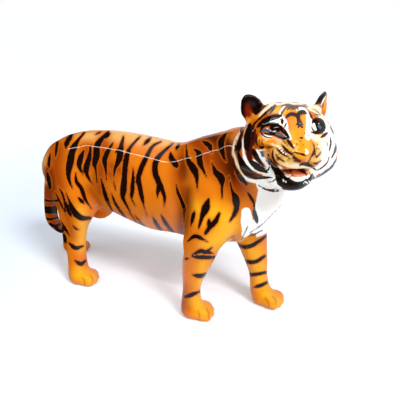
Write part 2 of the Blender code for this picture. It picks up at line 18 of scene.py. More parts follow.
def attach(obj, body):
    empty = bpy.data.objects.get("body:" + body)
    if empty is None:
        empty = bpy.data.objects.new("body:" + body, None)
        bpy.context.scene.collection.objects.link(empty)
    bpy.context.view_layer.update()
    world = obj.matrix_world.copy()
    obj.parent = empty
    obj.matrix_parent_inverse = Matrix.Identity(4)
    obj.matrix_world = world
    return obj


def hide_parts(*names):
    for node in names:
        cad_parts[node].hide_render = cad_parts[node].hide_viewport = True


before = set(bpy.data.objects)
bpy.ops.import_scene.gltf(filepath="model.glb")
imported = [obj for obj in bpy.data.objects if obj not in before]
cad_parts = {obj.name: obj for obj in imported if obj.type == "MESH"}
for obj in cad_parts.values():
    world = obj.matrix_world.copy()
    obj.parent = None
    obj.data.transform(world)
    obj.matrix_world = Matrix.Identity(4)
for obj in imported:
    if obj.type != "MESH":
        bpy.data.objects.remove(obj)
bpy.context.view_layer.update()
MM = 0.001


# %% [markdown]
# ## Where the picture is taken from
# The camera comes first, because the painter works from the picture: each brush stroke is given by the
# places that it passes in the photograph, and those places are found on the skin along the camera's own
# sight lines. The viewpoint is 28 degrees round from the side, and looks down by 20 degrees from half a
# metre away.

# %% Camera
PICTURE = 400
FOCAL = 537.0
SENSOR = 36
SIDE_ANGLE = math.radians(28)
DOWN_ANGLE = math.radians(20)
DISTANCE = 458 * MM
LOOK_AT = Vector((35.56, 6.87, 95)) * MM

backward = Vector(
    (
        math.sin(SIDE_ANGLE) * math.cos(DOWN_ANGLE),
        -math.cos(SIDE_ANGLE) * math.cos(DOWN_ANGLE),
        math.sin(DOWN_ANGLE),
    )
)
rightward = Vector((math.cos(SIDE_ANGLE), math.sin(SIDE_ANGLE), 0))
upward = backward.cross(rightward)
eye = LOOK_AT + backward * DISTANCE

camera = bpy.data.objects.new("camera", bpy.data.cameras.new("camera"))
bpy.context.scene.collection.objects.link(camera)
camera.matrix_world = Matrix.Translation(eye) @ Matrix((rightward, upward, backward)).transposed().to_4x4()
camera.data.sensor_width = SENSOR
camera.data.lens = SENSOR * FOCAL / PICTURE
camera.data.clip_start = 0.01
bpy.context.scene.camera = camera
print("camera at, mm:", [round(v / MM) for v in eye])


def sight_line(x, y):
    """Which way the camera looks at a place in the picture."""
    across, down = (x - PICTURE / 2) / FOCAL, (y - PICTURE / 2) / FOCAL
    return (rightward * across - upward * down - backward).normalized()


def in_picture(spots):
    """Where places are seen in the picture, and how deep they lie."""
    ahead = spots - np.array(eye)
    depth = -ahead @ np.array(backward)
    across = PICTURE / 2 + FOCAL * (ahead @ np.array(rightward)) / depth
    down = PICTURE / 2 - FOCAL * (ahead @ np.array(upward)) / depth
    return np.stack([across, down], axis=1), depth


# %% [markdown]
# ## A finer skin
# A casting's skin is one unbroken surface, so we work on one mesh. The model's triangles are merged,
# wrapped in an even net of small squares with a voxel remesh, and rubbed smooth. The body is rubbed more
# than the head and the paws, whose forms are small. The head then gets four squares for each one, because
# the finest brush strokes are painted there. Last, the two ear tips are drawn out by up to 3 mm, as a
# thumb draws out soft clay, until they meet the outline in the picture.

# %% Even net over the casting
SKIN_MM = 1.4
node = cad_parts["tiger_figurine"]
china = node.copy()
china.data = node.data.copy()
china.name = china.data.name = "china_tiger"
china.parent = None
china.matrix_world = Matrix()
bpy.context.scene.collection.objects.link(china)
bpy.ops.object.select_all(action="DESELECT")
china.select_set(True)
bpy.context.view_layer.objects.active = china

bpy.ops.object.mode_set(mode="EDIT")
bpy.ops.mesh.select_all(action="SELECT")
bpy.ops.mesh.remove_doubles(threshold=0.00001)
bpy.ops.object.mode_set(mode="OBJECT")
net = china.modifiers.new("net", "REMESH")
net.mode = "VOXEL"
net.voxel_size = SKIN_MM * MM
bpy.ops.object.modifier_apply(modifier="net")
print("net:", len(china.data.vertices), "points")


# %% Places on the head
HEAD_MIDDLE = Vector((112.86, -3.33, 163.7))
HEAD_TURN = Matrix.Rotation(math.radians(-57), 3, "Z") @ Matrix.Rotation(math.radians(-2), 3, "Y")


def on_head(x, y, z):
    """A place on the head: x to the nose, y to the tiger's left, z up, in mm from the skull's middle."""
    return (HEAD_TURN @ Vector((x, y, z)) + HEAD_MIDDLE) * MM


def measured_on_head(place):
    """The x, y and z that on_head takes for a place."""
    return HEAD_TURN.transposed() @ (Vector(place) / MM - HEAD_MIDDLE)


def points_of(thing):
    """The places of a thing's points, as rows."""
    found = np.empty(len(thing.data.vertices) * 3)
    thing.data.vertices.foreach_get("co", found)
    return found.reshape(-1, 3)


print("skull's middle, mm:", [round(v, 1) for v in HEAD_MIDDLE])


# %% Rub the body smooth
SKULL, PAWS, FADE = 40, 14, 12
points = points_of(china)
from_skull = np.linalg.norm(points / MM - np.array(HEAD_MIDDLE), axis=1)
body_share = np.clip((from_skull - SKULL) / FADE, 0, 1) * np.clip((points[:, 2] / MM - PAWS) / FADE, 0, 1)
body_group = china.vertex_groups.new(name="body")
for i, share in enumerate(body_share):
    if share > 0:
        body_group.add([i], float(share), "REPLACE")


def rub(times, group=""):
    """Rubs the skin smooth, or only one group of its points."""
    cloth = china.modifiers.new("rub", "SMOOTH")
    cloth.factor = 0.5
    cloth.iterations = times
    cloth.vertex_group = group
    bpy.ops.object.modifier_apply(modifier="rub")


rub(22, "body")
rub(3)
print("rubbed harder:", int((body_share > 0).sum()), "points")


# %% Finer squares on the head
HEAD_REACH = 43 * MM
NECK_HEIGHT = 122 * MM


def edit_only(kind, wanted):
    """Goes to edit mode with only the wanted edges or polygons of the active thing selected."""
    bpy.ops.object.mode_set(mode="EDIT")
    bpy.ops.mesh.select_all(action="DESELECT")
    bpy.ops.object.mode_set(mode="OBJECT")
    for part in getattr(bpy.context.object.data, kind):
        part.select = wanted(part)
    bpy.ops.object.mode_set(mode="EDIT")


def of_head(face):
    """Whether a square of the skin is the head's."""
    return (face.center - HEAD_MIDDLE * MM).length < HEAD_REACH and face.center.z > NECK_HEIGHT


edit_only("polygons", of_head)
bpy.ops.mesh.subdivide(number_cuts=1)
bpy.ops.object.mode_set(mode="OBJECT")
rub(2)
triangles = sum(len(face.vertices) - 2 for face in china.data.polygons)
print("skin:", len(china.data.vertices), "points,", triangles, "triangles")


# %% Ears drawn out
points = points_of(china)
EAR_FLOOR = 168 * MM
high = points[:, 2] > EAR_FLOOR


def pull(tip, reach, by):
    """Draws the skin near a place in the picture across and up by some pixels, less with the distance."""
    seen, depth = in_picture(points)
    share = np.clip(1 - np.linalg.norm(seen - tip, axis=1) / reach, 0, 1) * high
    share = share**2 * (3 - 2 * share) * depth / FOCAL
    points[:] += share[:, None] * np.array(rightward * by[0] + upward * by[1])


pull((251, 98), 15, (-2.6, 1.8))
pull((323, 95), 8, (2.4, 3))
china.data.vertices.foreach_set("co", points.ravel())
china.data.update()
print("skin's top:", round(float(points[:, 2].max()) / MM, 1), "mm")


# %% [markdown]
# ## The painter's tools
# A stroke is a line of places in the picture with a brush width. It is drawn as a smooth curve, thrown
# onto the skin along the camera's sight lines, and measured there: each point of the skin keeps its
# distance inside or outside the nearest stroke of that colour. The glaze shader later turns that distance
# into a crisp edge, so the edge is as fine as the picture needs and not as coarse as the net. What the
# picture hides repeats the side that it shows, or is painted by place on the skin.

# %% Strokes on the skin
points = points_of(china)
faces = [tuple(face.vertices) for face in china.data.polygons]
tree = BVHTree.FromPolygons([tuple(point) for point in points], faces)
normals = np.empty(len(points) * 3)
china.data.vertex_normals.foreach_get("vector", normals)
normals = normals.reshape(-1, 3)


def curve_through(places, per_step=5):
    """A Catmull-Rom curve through rows of numbers."""
    rows = np.array(places, float)
    if len(rows) == 1:
        return rows
    padded = np.vstack([2 * rows[0] - rows[1], rows, 2 * rows[-1] - rows[-2]])
    found = []
    for a, b, c, d in zip(padded, padded[1:], padded[2:], padded[3:]):
        for k in range(per_step):
            t = k / per_step
            bend, twist = 2 * a - 5 * b + 4 * c - d, 3 * b - a - 3 * c + d
            found.append(0.5 * (2 * b + (c - a) * t + bend * t**2 + twist * t**3))
    return np.array(found + [rows[-1]])


WHOLE = (1, 1)
TAPERED = (0.25, 0.12)
LANDING, LIFTING = 0.3, 0.4


def thrown(stroke):
    """Where a stroke lands on the skin: rows of picture place, half width in the picture, place, normal.

    A stroke is a list of places with their widths, or a width, places, and the shares of it at both ends.
    The brush lands and lifts over a part of the stroke's length.
    """
    width, places, ends = (0, stroke, WHOLE) if isinstance(stroke, list) else (*stroke, TAPERED)[:3]
    rows = curve_through([place if len(place) == 3 else (*place, width) for place in places])
    found = []
    for k, (x, y, brush) in enumerate(rows):
        place, normal, _, _ = tree.ray_cast(eye, sight_line(x, y))
        if place is None:
            continue
        t = k / max(len(rows) - 1, 1)
        start = ends[0] + (1 - ends[0]) * min(1, t / LANDING)
        end = ends[1] + (1 - ends[1]) * min(1, (1 - t) / LIFTING)
        share = min(start, end) if len(rows) > 1 else 1
        found.append((np.array((x, y)), brush * share / 2, np.array(place), np.array(normal)))
    return found * 2 if len(found) == 1 else found


MIDDLE_Y = 6.87 * MM
OFF_THE_SKIN = 20 * MM


def to_other_side(rows, shift):
    """The same stroke on the tiger's other side, moved along by shift(height), all in mm."""
    found = []
    for _, half, place, normal in rows:
        mirrored = Vector((place[0] + shift(place[2] / MM) * MM, 2 * MIDDLE_Y - place[1], place[2]))
        near, near_normal, _, far = tree.find_nearest(mirrored)
        if far < OFF_THE_SKIN:
            found.append((None, half, np.array(near), np.array(near_normal)))
    return found


def to_other_cheek(rows):
    """The same stroke on the face's other half, only where the camera doesn't see the skin."""
    found = []
    for _, half, place, _ in rows:
        x, y, z = measured_on_head(place)
        near, normal, _, far = tree.find_nearest(on_head(x, -y, z))
        if far < OFF_THE_SKIN and normal.dot(near - Vector(eye)) > 0:
            found.append((None, half, np.array(near), np.array(normal)))
    return found


THIN_END = 0.3


def on_skin(width, places):
    """Rows of a stroke of some width in mm through the skin's points nearest to places in mm."""
    found = []
    for place in curve_through(places):
        near, normal, _, _ = tree.find_nearest(Vector(place) * MM)
        half = width / 2 * MM * FOCAL / float(in_picture(np.array([near]))[1][0])
        found.append((None, half, np.array(near), np.array(normal)))
    for k in (0, -1):
        found[k] = (None, found[k][1] * THIN_END, *found[k][2:])
    return found


RING_REACH, RING_WAVE, RING_STEPS = 9, 1.5, 8
SLICE = 2 * MM


def ring(width, height, box, angles):
    """Rows of a stroke round a leg or the tail: its height, a box (x and y from, to) and two angles."""
    x0, x1, y0, y1 = (side * MM for side in box)
    here = points[np.abs(points[:, 2] - height * MM) < SLICE]
    here = here[(here[:, 0] > x0) & (here[:, 0] < x1) & (here[:, 1] > y0) & (here[:, 1] < y1)]
    cx, cy = here[:, 0].mean() / MM, here[:, 1].mean() / MM
    places = []
    for k in range(RING_STEPS + 1):
        turn = math.radians(angles[0] + (angles[1] - angles[0]) * k / RING_STEPS)
        x, y = cx + RING_REACH * math.cos(turn), cy + RING_REACH * math.sin(turn)
        places.append((x, y, height + RING_WAVE * math.sin(3 * turn)))
    return on_skin(width, places)


layers = {}
seen_at, depths = in_picture(points)
UNPAINTED = -9.0
STEEP = 2.6
JUMP = 12 * MM
TURNED_AWAY = -0.3


def along(spots, one, other):
    """How far spots lie from the line between two rows' values, and how far along it, from 0 to 1."""
    step = other - one + 1e-9
    t = np.clip((spots - one) @ step / (step @ step), 0, 1)
    return np.linalg.norm(spots - one - t[:, None] * step, axis=1), t


def brush_on(name, rows, soft=1.0):
    """Adds a stroke to a layer as mm inside its edge, divided by soft.

    A stroke that has picture places is as wide as the picture shows it, also where the skin turns away. One
    without them, on the hidden side, is measured on the skin.
    """
    if len(rows) < 2:
        return
    if name not in layers:
        layers[name] = np.full(len(points), UNPAINTED)
    values = layers[name]
    places = np.array([row[2] for row in rows])
    scale = float(np.mean(in_picture(places)[1])) / FOCAL
    reach = max(row[1] for row in rows) * scale * STEEP + (2 + 2 * soft) * MM
    low, high = places.min(axis=0) - reach, places.max(axis=0) + reach
    near = np.flatnonzero(np.all((points > low) & (points < high), axis=1))
    for (seen_a, half_a, a, normal_a), (seen_b, half_b, b, _) in zip(rows, rows[1:]):
        if np.linalg.norm(b - a) > JUMP:
            continue
        away, t = along(points[near], a, b)
        half = (half_a + (half_b - half_a) * t) * scale
        if seen_a is None:
            inside = half - away
        else:
            seen_away, t = along(seen_at[near], seen_a, seen_b)
            half = (half_a + (half_b - half_a) * t) * scale
            inside = half - seen_away * depths[near] / FOCAL
            inside = np.minimum(inside, half * STEEP + (1.2 + soft) * MM - away)
        facing = normals[near] @ normal_a > TURNED_AWAY
        values[near] = np.where(facing, np.maximum(values[near], inside / MM / soft), values[near])


def paint(name, strokes, soft=1.0, other_side=None, wide=1.0, both_cheeks=False):
    """Paints strokes of one colour, and again on the tiger's other side or the other cheek if asked."""
    for stroke in strokes:
        rows = [(seen, half * wide, place, normal) for seen, half, place, normal in thrown(stroke)]
        brush_on(name, rows, soft)
        if other_side is not None:
            brush_on(name, to_other_side(rows, other_side), soft)
        if both_cheeks:
            brush_on(name, to_other_cheek(rows), soft)


print("points seen by the painter:", len(seen_at))


# %% [markdown]
# ## The coat
# The coat is sponged on first: amber all over, deeper orange down the flanks and thighs, and yellower on the
# legs. With it go painted shade and a painted sheen: brown round the neck and in the crease behind the
# shoulder, deeper orange and brown down the left sides of the rump and the legs, which face away from the
# lamp, and a pale sheen along the back and down the left edges of the rump and the tail. These are broad
# soft strokes. The black stripes go over them, with a darker rim where the black has bled into the amber,
# then the white of the chest and the tail's rings. The far flank repeats the near one, because the painter
# turns the piece and does the same again.

# %% Soft colour, painted shade and painted sheen of the coat


def straight(height):
    """How far the far side's strokes are moved along: the two flanks are nearly level."""
    return 3.0


def fore_leg_shift(height):
    """The far fore leg steps forward, more towards the paw."""
    return 45 * min(1, max(0, (80 - height) / 60))


def hind_leg_shift(height):
    """The far hind leg steps back, more towards the paw."""
    return -53 * min(1, max(0, (86 - height) / 70))


# painted sheen: pale strokes along the top of the back and the withers, and down the rump's left edge, where
# the glaze catches the light
SHEEN_PLACES = [
    (13, [(80, 136), (104, 134.5), (124, 135.5), (144, 138.5), (166, 141.5), (186, 141)], (0.7, 0.7)),
    (9, [(78, 131), (100, 129), (130, 131), (160, 135), (176, 138)], (0.6, 0.6)),
    (7, [(52, 138), (46, 150), (44, 168), (48, 186)], (0.8, 0.8)),
    (6, [(206, 130), (186, 138), (170, 142)], (0.6, 0.6)),
]
# deeper orange down the flanks and thighs; the strokes down the left sides of the legs and paws are painted
# shade
FLAME_AND_SHADE_PLACES = [
    (30, [(66, 160), (100, 158), (140, 160), (176, 168)], (0.8, 0.8)),
    (18, [(74, 178), (92, 186), (104, 190)], (0.8, 0.5)), [(82, 190, 11), (91, 198, 11), (98, 202, 11)],
    (14, [(112, 186), (126, 190), (150, 192)], (0.6, 0.6)),
    (20, [(190, 238), (192, 262), (189, 285)], (0.8, 0.8)),
    (9, [(235, 238), (242, 262), (250, 286)], (0.8, 0.8)),
    (12, [(186, 306), (194, 317), (204, 319)], (0.8, 0.8)),
    (10, [(254, 298), (262, 306), (272, 308)], (0.8, 0.8)),
    (10, [(76, 262), (78, 278), (86, 285)], (0.8, 0.8)), (9, [(72, 250), (76, 264)], (0.8, 0.8)),
    (16, [(198, 172), (212, 182), (224, 192)], (0.8, 0.8)),
]
# brown: its own colour on the flank; on the rump's left side, round the neck, in the crease behind the
# shoulder and down the legs' left sides it is painted shade
RUST_AND_SHADE_PLACES = [
    (16, [(58, 150), (56, 168), (60, 186)], (0.9, 0.8)),
    (14, [(104, 138), (104, 155), (100, 176), (100, 192)], (0.6, 0.6)),
    (14, [(86, 150), (98, 164), (112, 176)], (0.8, 0.6)), (12, [(108, 164), (124, 172)], (0.6, 0.6)),
    (7, [(90, 190), (100, 204)], (0.8, 0.6)),
    (12, [(183, 150), (180, 175), (183, 205), (182, 232)], (0.8, 0.7)),
    (28, [(196, 142), (210, 156), (226, 170), (238, 186)], (0.7, 0.8)),
    (14, [(182, 238), (181, 258), (182, 290), (183, 306)], (0.9, 0.8)),
    (5, [(234, 240), (240, 262), (248, 286)], (0.8, 0.6)),
    (6, [(62, 196), (68, 216), (72, 236)], (0.8, 0.6)),
]
# painted shade: dark brown on the neck under the head, in the crease behind the shoulder, at the fore leg's
# top and where the tail meets the rump
NECK_AND_CREASE_SHADE = [
    (20, [(208, 136), (224, 144), (230, 160), (234, 176)], (0.6, 0.6)),
    (8, [(183, 160), (184, 176)], (0.6, 0.6)), (6, [(188, 190), (186, 212), (182, 232)], (0.6, 0.6)),
    (5, [(180, 236), (179, 256)], (0.6, 0.6)), (4, [(50, 172), (54, 190), (60, 206)], (0.6, 0.6)),
]
GOLD_PLACES = [
    (24, [(214, 212), (228, 222), (222, 236), (210, 244)], (0.8, 0.8)),
    (14, [(196, 206), (204, 220)], (0.7, 0.8)), (12, [(80, 212), (84, 230), (82, 246)], (0.8, 0.8)),
    [(248, 240, 18), (256, 262, 18), (262, 284, 18)], (10, [(204, 262), (200, 284)], (0.8, 0.8)),
    [(196, 300, 16), (204, 312, 16)], [(80, 274, 14), (90, 280, 14)], [(266, 294, 16), (276, 302, 16)],
]
for name, places, soft in (
    ("painted_sheen", SHEEN_PLACES, 5),
    ("flame", FLAME_AND_SHADE_PLACES, 9),
    ("rust_and_painted_shade", RUST_AND_SHADE_PLACES, 8),
    ("umber_and_painted_shade", NECK_AND_CREASE_SHADE, 6),
    ("gold", GOLD_PLACES, 8),
):
    paint(name, places, soft=soft, other_side=straight)
print("coat layers:", sorted(layers))


# %% Body stripes
FIRM = 1.06
BODY_STRIPES = [
    (2.6, [(58, 137), (56.4, 148.6), (55.4, 158)]), (4.5, [(73, 133), (67.1, 142.1), (65.7, 149)]),
    (2.6, [(50.4, 153), (48.9, 162.9), (49.6, 169)]),
    (6, [(84.5, 132.5), (78.6, 139.5, 4), (74.3, 146.4), (72.1, 152.1), (70, 163, 6.6), (68.4, 173),
     (69.3, 181), (73, 189)]),
    (5, [(83.9, 150.5), (80.7, 157.9), (79.3, 165.7), (83, 175)]),
    (4.6, [(90.7, 145), (89.3, 157), (86.4, 167, 5.5), (87.1, 175), (93, 185)]),
    (6, [(108.5, 131.5), (100.7, 140, 6.5), (97.1, 146.4), (96.4, 155.7), (94.6, 164.3, 5),
     (95.7, 170, 3.4), (97.1, 183)]),
    (3, [(110, 133), (104.3, 138.6)]), (1.5, [(101.4, 131.6), (95, 134.6)]),
    (4.6, [(112.9, 143), (107.9, 151.4), (104.6, 160), (105.7, 170, 3), (106.4, 180)]),
    (5.6, [(123.5, 136.5), (120.7, 148.6), (119.3, 158.6), (115, 168.6, 3.4), (113.6, 177)]),
    (1.5, [(117.1, 148.6), (115.7, 153)]),
    (5, [(140, 136.5), (131.1, 146.4), (127.7, 153.3), (125.6, 163.6), (124.3, 178.1), (123.4, 190.1, 6),
     (122.9, 197.8, 4), (127.7, 207.3, 2.6), (133, 217.5, 2.4), (141.4, 227)]),
    (3.6, [(133.3, 168), (132.9, 180.7), (132, 193.6), (131.6, 198.7, 2), (135.4, 206)]),
    (3.4, [(151, 137.5), (143.1, 145.6)]),
    (4.6, [(161, 141.5), (152.6, 146.4), (146.6, 156.7), (141.4, 167.8), (138.4, 178.1), (139.7, 186.7),
     (142.3, 198.7, 5), (144, 206, 2.4), (147.4, 217)]),
    (5.4, [(173, 143.5), (162.8, 152.4), (156, 161), (155.1, 172.1), (157.7, 179.8), (162, 189.3),
     (164.6, 197.8, 6), (164.1, 207)]),
    (3, [(158.4, 182), (157.3, 198)]), (3, [(179.5, 143.6), (175.7, 150)]),
    (5, [(170.6, 152.5), (171.4, 158), (175.7, 164.4, 6), (177, 169)]),
    (3, [(176.1, 182), (177.4, 191, 2.6), (181.7, 201.3), (184.3, 209.8, 4.6), (183.8, 224)]),
    (3.2, [(161.1, 215), (165.4, 222.7), (171.4, 230.4), (178.3, 235)]),
    (3.2, [(152.6, 217), (157.7, 226.1), (163, 231.6)]),
    (1.6, [(134.6, 215), (141.4, 223.5), (148.3, 229)]),
    (3.4, [(100.7, 178), (104.3, 191.4), (107.9, 202.1), (114, 213.4)]),
    (2.2, [(111.4, 193.5), (115.7, 204.3), (122.9, 214.3), (130, 222)]),
    (1.2, [(113.6, 181), (115.7, 191)]),
]
paint("black", BODY_STRIPES, other_side=straight, wide=FIRM)

THIGH_STRIPES = [
    (3.6, [(75.7, 173), (76.4, 181.4), (81.4, 188.6), (85, 198.6, 4.4), (91.6, 209)]),
    (3, [(78.2, 197.5), (84.6, 204)]),
    (5.4, [(65.7, 192, 2), (70, 202.9, 3), (74.3, 212.1, 5.4), (81.4, 217.9, 6), (90, 218)], (0.3, 0.5)),
    # the thin lines that start at 55 and 58 across, down the back of the thigh, are painted shade
    (3, [(65, 200), (68.6, 211.4), (72.1, 218)]), (1.6, [(55, 191.4), (60, 202), (66, 215)]),
    (2, [(57.9, 186.4), (63.6, 197.1), (65.7, 215)]), (1.6, [(72.1, 225), (75.7, 228.6), (79.3, 230)]),
    (2.2, [(61.4, 222), (65.7, 229.3), (70.7, 237.4)]),
    (3.6, [(69, 243), (75.5, 248), (83, 246)], (0.3, 0.4)),
    (3.6, [(75, 260.5), (81, 264), (85.5, 260.5)], (0.3, 0.4)),
]
paint("black", THIGH_STRIPES, other_side=hind_leg_shift, wide=FIRM)

SHOULDER_STRIPES = [
    (6.5, [(186, 145, 3), (187.7, 159.3, 4), (192.8, 167.8), (196.3, 175.6), (197.5, 191, 3)]),
    (5.5, [(194, 149, 5), (198.8, 153.3), (199.7, 161.8), (203.1, 169.6, 4), (207, 177.5)]),
    (4.6, [(202.5, 141.4), (209.1, 145.6), (211.9, 154)]),
    (6, [(226, 133.5), (221.1, 142.1), (222.8, 154.1, 4.4), (226.3, 162)]),
    (6.5, [(211.5, 161, 3), (215.1, 171.3, 5), (221.1, 178.1, 7), (222, 186.7, 3.4), (222, 199)]),
    (5.4, [(228.8, 176, 2), (232.3, 191.8, 3), (236.5, 198.7, 5.4), (236.5, 209, 5), (229.5, 222)]),
    (7, [(208.5, 199), (205.7, 208, 7.4), (202.3, 215.8, 5), (198.6, 228.4)]),
    (4.6, [(219.3, 213.6), (215.1, 221.8), (210, 227), (205.4, 233.5)], (0.5, 0.6)),
    (3.2, [(209.1, 218.6), (208.3, 228)]), (3.4, [(194.6, 211), (192.8, 217.5), (190.7, 226.6)]),
]
paint("black", SHOULDER_STRIPES, other_side=straight, wide=FIRM)

FORE_LEG_STRIPES = [
    (3.6, [(187.5, 241.4), (194.6, 236.4), (200.6, 238.1), (208, 242)]),
    (3.8, [(192.1, 254.6), (200.7, 251.1), (205.9, 252), (212, 247.4)]),
    (2.6, [(204, 251.4), (213.6, 253.6)]),
    (3.6, [(191.5, 256.7), (203.3, 257.3), (216.6, 257.4)], (0.2, 0.6)),
    (3.6, [(192.1, 274.7), (199.9, 276, 3.6), (205.6, 274.2)], (0.1, 0.7)),
    (3.6, [(184.8, 297), (191.3, 294.8), (200.2, 291.2)], (0.6, 0.3)), (2, [(184.5, 259), (189, 258.4)]),
]
paint("black", FORE_LEG_STRIPES, other_side=fore_leg_shift, wide=FIRM)

FAR_FORE_LEG_STRIPES = [
    (3.6, [(235.4, 243), (243.6, 247), (252.1, 245.4), (260, 240.5), (266, 236)], (0.4, 0.6)),
    (3.6, [(241.2, 258.4), (247.8, 261.9), (256.4, 261.4), (264.6, 256)], (0.4, 0.7)),
    (3.2, [(248.4, 273.2), (253, 274.7), (265.6, 272.4)], (0.5, 0.8)),
    (3.2, [(253.6, 287.4), (260.7, 285.4), (266.4, 282.6)], (0.2, 0.8)),
]
paint("black", FAR_FORE_LEG_STRIPES)
print("stripes:", len(BODY_STRIPES) + len(THIGH_STRIPES) + len(SHOULDER_STRIPES) + len(FORE_LEG_STRIPES))


# %% Chest
CHEST_WHITE = [
    [(246, 212, 9), (247, 222, 12), (247, 230, 10), (244, 235, 5)],
    [(262, 192, 8), (264, 200, 15), (263, 212, 17), (261, 222, 14)],
    [(272, 196, 8), (274, 206, 14), (272, 216, 10)], [(282, 194, 6), (283, 202, 8), (281, 208, 5)],
    [(254, 231, 5), (260, 228, 6), (266, 223, 5)], [(288, 194, 5), (288, 202, 5)],
    [(268, 214, 10), (267, 226, 12), (260, 235, 8)], [(254, 225, 4), (257, 229, 5)],
    [(260, 184, 6), (270, 188, 8), (284, 190, 7)], [(276, 196, 6), (286, 197, 6)],
    [(258, 183, 4), (262, 188, 8), (272, 192, 9), (282, 192, 6)],
    [(272, 222, 8), (278, 214, 9), (284, 206, 6)],
]
paint("white", CHEST_WHITE)
CHEST_BLACK = [
    [(232.7, 192.2, 2), (236.4, 197.4, 4.4), (237.1, 203.8, 5), (235.4, 212, 4.6), (230.3, 220.8, 1.6)],
    [(232.4, 196.5, 1.4), (234.3, 202.7, 3), (235.4, 207, 2)],
    [(247.6, 192.8, 2), (251.1, 198, 3), (253.6, 202.7, 2), (254.7, 208, 1.2)],
    [(262.4, 230.1, 0.6), (256, 233.6, 1.1), (249, 235.6, 0.7)],
    [(236.8, 172.5, 3), (241.2, 178.5, 4.6), (246.7, 184, 2.4)],
    [(258.3, 185.2, 0.9), (265.9, 189.6, 1.3), (274.7, 191.7, 1), (281.3, 190.6, 0.5)],
    [(270, 189.4, 0.6), (276, 188.9, 0.9), (282, 189.2, 0.6)],
]
paint("black", CHEST_BLACK)
CHEST_GREY = [
    [(254.4, 207.6, 1.4), (254.6, 213.5, 4.4), (256.2, 219, 4.6), (257.4, 223.4, 1.4)],
    [(247.8, 226, 0.9), (245.5, 231.3, 1.4), (241.4, 239.4, 1)],
    [(281, 205.2, 0.4), (278.8, 207.9, 0.6), (270.6, 216.1, 0.8), (263, 223.7, 1), (256, 228.9, 1),
     (249, 233, 0.8)],
]
paint("grey", CHEST_GREY)
print("chest strokes:", len(CHEST_WHITE) + len(CHEST_BLACK) + len(CHEST_GREY))


# %% Tail
TAIL_BLACK = [
    (5, [(47.5, 173, 3), (47.6, 180, 6), (48.5, 188, 7)], (0.6, 1)),
    [(44.5, 200, 2), (49, 201, 2), (57, 200.6, 2)], [(44, 209.3, 7.2), (50, 210.2, 7.2), (58, 209, 7.2)],
    [(45, 217.6, 2.4), (50, 219.4, 2.4), (59, 217, 2.4)], [(50, 224, 3), (54.5, 226, 3), (60, 224, 3)],
    [(56.5, 229, 4), (60.5, 231.5, 4), (64, 228, 4)], [(64, 236, 4), (66, 241, 4)],
]
paint("black", TAIL_BLACK)
TAIL_BROWN = [[(50, 172, 14), (49, 190, 14), (50, 210, 14), (54, 222, 14), (61, 232, 14)]]
paint("rust_and_painted_shade", TAIL_BROWN, soft=4)
# a painted sheen down the tail's left edge
TAIL_EDGE_SHEEN = [[(43, 200, 3), (44, 212, 5), (48, 222, 5), (54, 229, 3)]]
paint("painted_sheen", TAIL_EDGE_SHEEN, soft=1.6)
print("tail rings:", len(TAIL_BLACK))


# %% [markdown]
# ## The face
# The face takes the smallest brush, so its strokes are given on four enlarged parts of the picture: the
# ear, the cheek, the brow and the muzzle. Cream and white are laid first, then gold, orange and brown,
# then the black bands of the ruff, the brows and lids, the mouth and chin, and last the lights: teeth,
# whisker roots, and glints in the eyes and on the nose, which are painted highlights. The grey-blue in the
# dark of the eyes is a painted reflection.

# %% Places on the enlarged face


def enlarged(left, top, scale, strokes):
    """Strokes given on an enlarged part of the picture, brought back to the whole picture."""

    def back(places):
        return [(x / scale + left, y / scale + top, *width) for x, y, *width in places]

    return [back(s) if isinstance(s, list) else (s[0], back(s[1]), *s[2:]) for s in strokes]


at_ear = partial(enlarged, 225, 84, 11.9)
at_cheek = partial(enlarged, 225, 130, 11.69)
at_brow = partial(enlarged, 270, 90, 10.25)
at_muzzle = partial(enlarged, 262, 138, 10.25)
corners = [part([[(0, 0)]])[0][0] for part in (at_ear, at_cheek, at_brow, at_muzzle)]
print("corners of the enlarged parts:", corners)


# %% Cream and white of the cheeks and brows
CREAM_CHEEK = [
    [(190, 0, 2), (150, 70, 2.6), (118, 140, 3), (100, 220, 2.6), (103, 300, 3.4), (125, 380, 4.4),
     (165, 460, 5), (215, 530, 5), (280, 580, 4), (370, 600, 4)],
    [(430, 40, 2.4), (470, 84, 4), (560, 112, 4), (640, 132, 4)],
]
CREAM_EAR = [
    [(440, 672, 1.4), (490, 690, 2.4), (560, 710, 3), (640, 740, 3), (690, 780, 2)],
    [(235, 480, 1), (280, 440, 1.6), (330, 400, 1)],
    [(300, 480, 1), (255, 525, 1.6), (238, 590, 1.6), (230, 660, 1.4)],
    [(590, 235, 3), (520, 275, 3), (450, 330, 3), (410, 380, 2)],
    [(340, 540, 1.4), (330, 600, 2), (330, 660, 1.6)],
]
CREAM_BROW = [
    [(0, 150, 3), (60, 140, 4), (160, 135, 4), (280, 135, 4), (400, 140, 5)],
    [(400, 165, 6), (460, 195, 9), (520, 240, 10), (560, 300, 10), (590, 370, 9), (600, 440, 8)],
    [(620, 320, 4), (640, 400, 6), (640, 480, 6)], [(430, 480, 6), (500, 500, 8), (580, 490, 8)],
]
CREAM_MUZZLE = [
    [(620, 0, 8), (610, 60, 9), (625, 130, 8), (640, 200, 7)],
    [(180, 245, 2), (240, 265, 5), (320, 285, 6), (390, 290, 5), (450, 296, 4), (510, 312, 4)],
    [(170, 280, 2), (190, 310, 3), (215, 340, 3), (232, 375, 2)],
    [(455, 322, 4), (500, 325, 5), (525, 350, 6), (520, 385, 5), (485, 408, 4)],
    [(560, 220, 3), (600, 190, 5), (640, 230, 6)],
]
cream = at_cheek(CREAM_CHEEK) + at_ear(CREAM_EAR) + at_brow(CREAM_BROW) + at_muzzle(CREAM_MUZZLE)
paint("cream", cream, soft=1.2, both_cheeks=True)

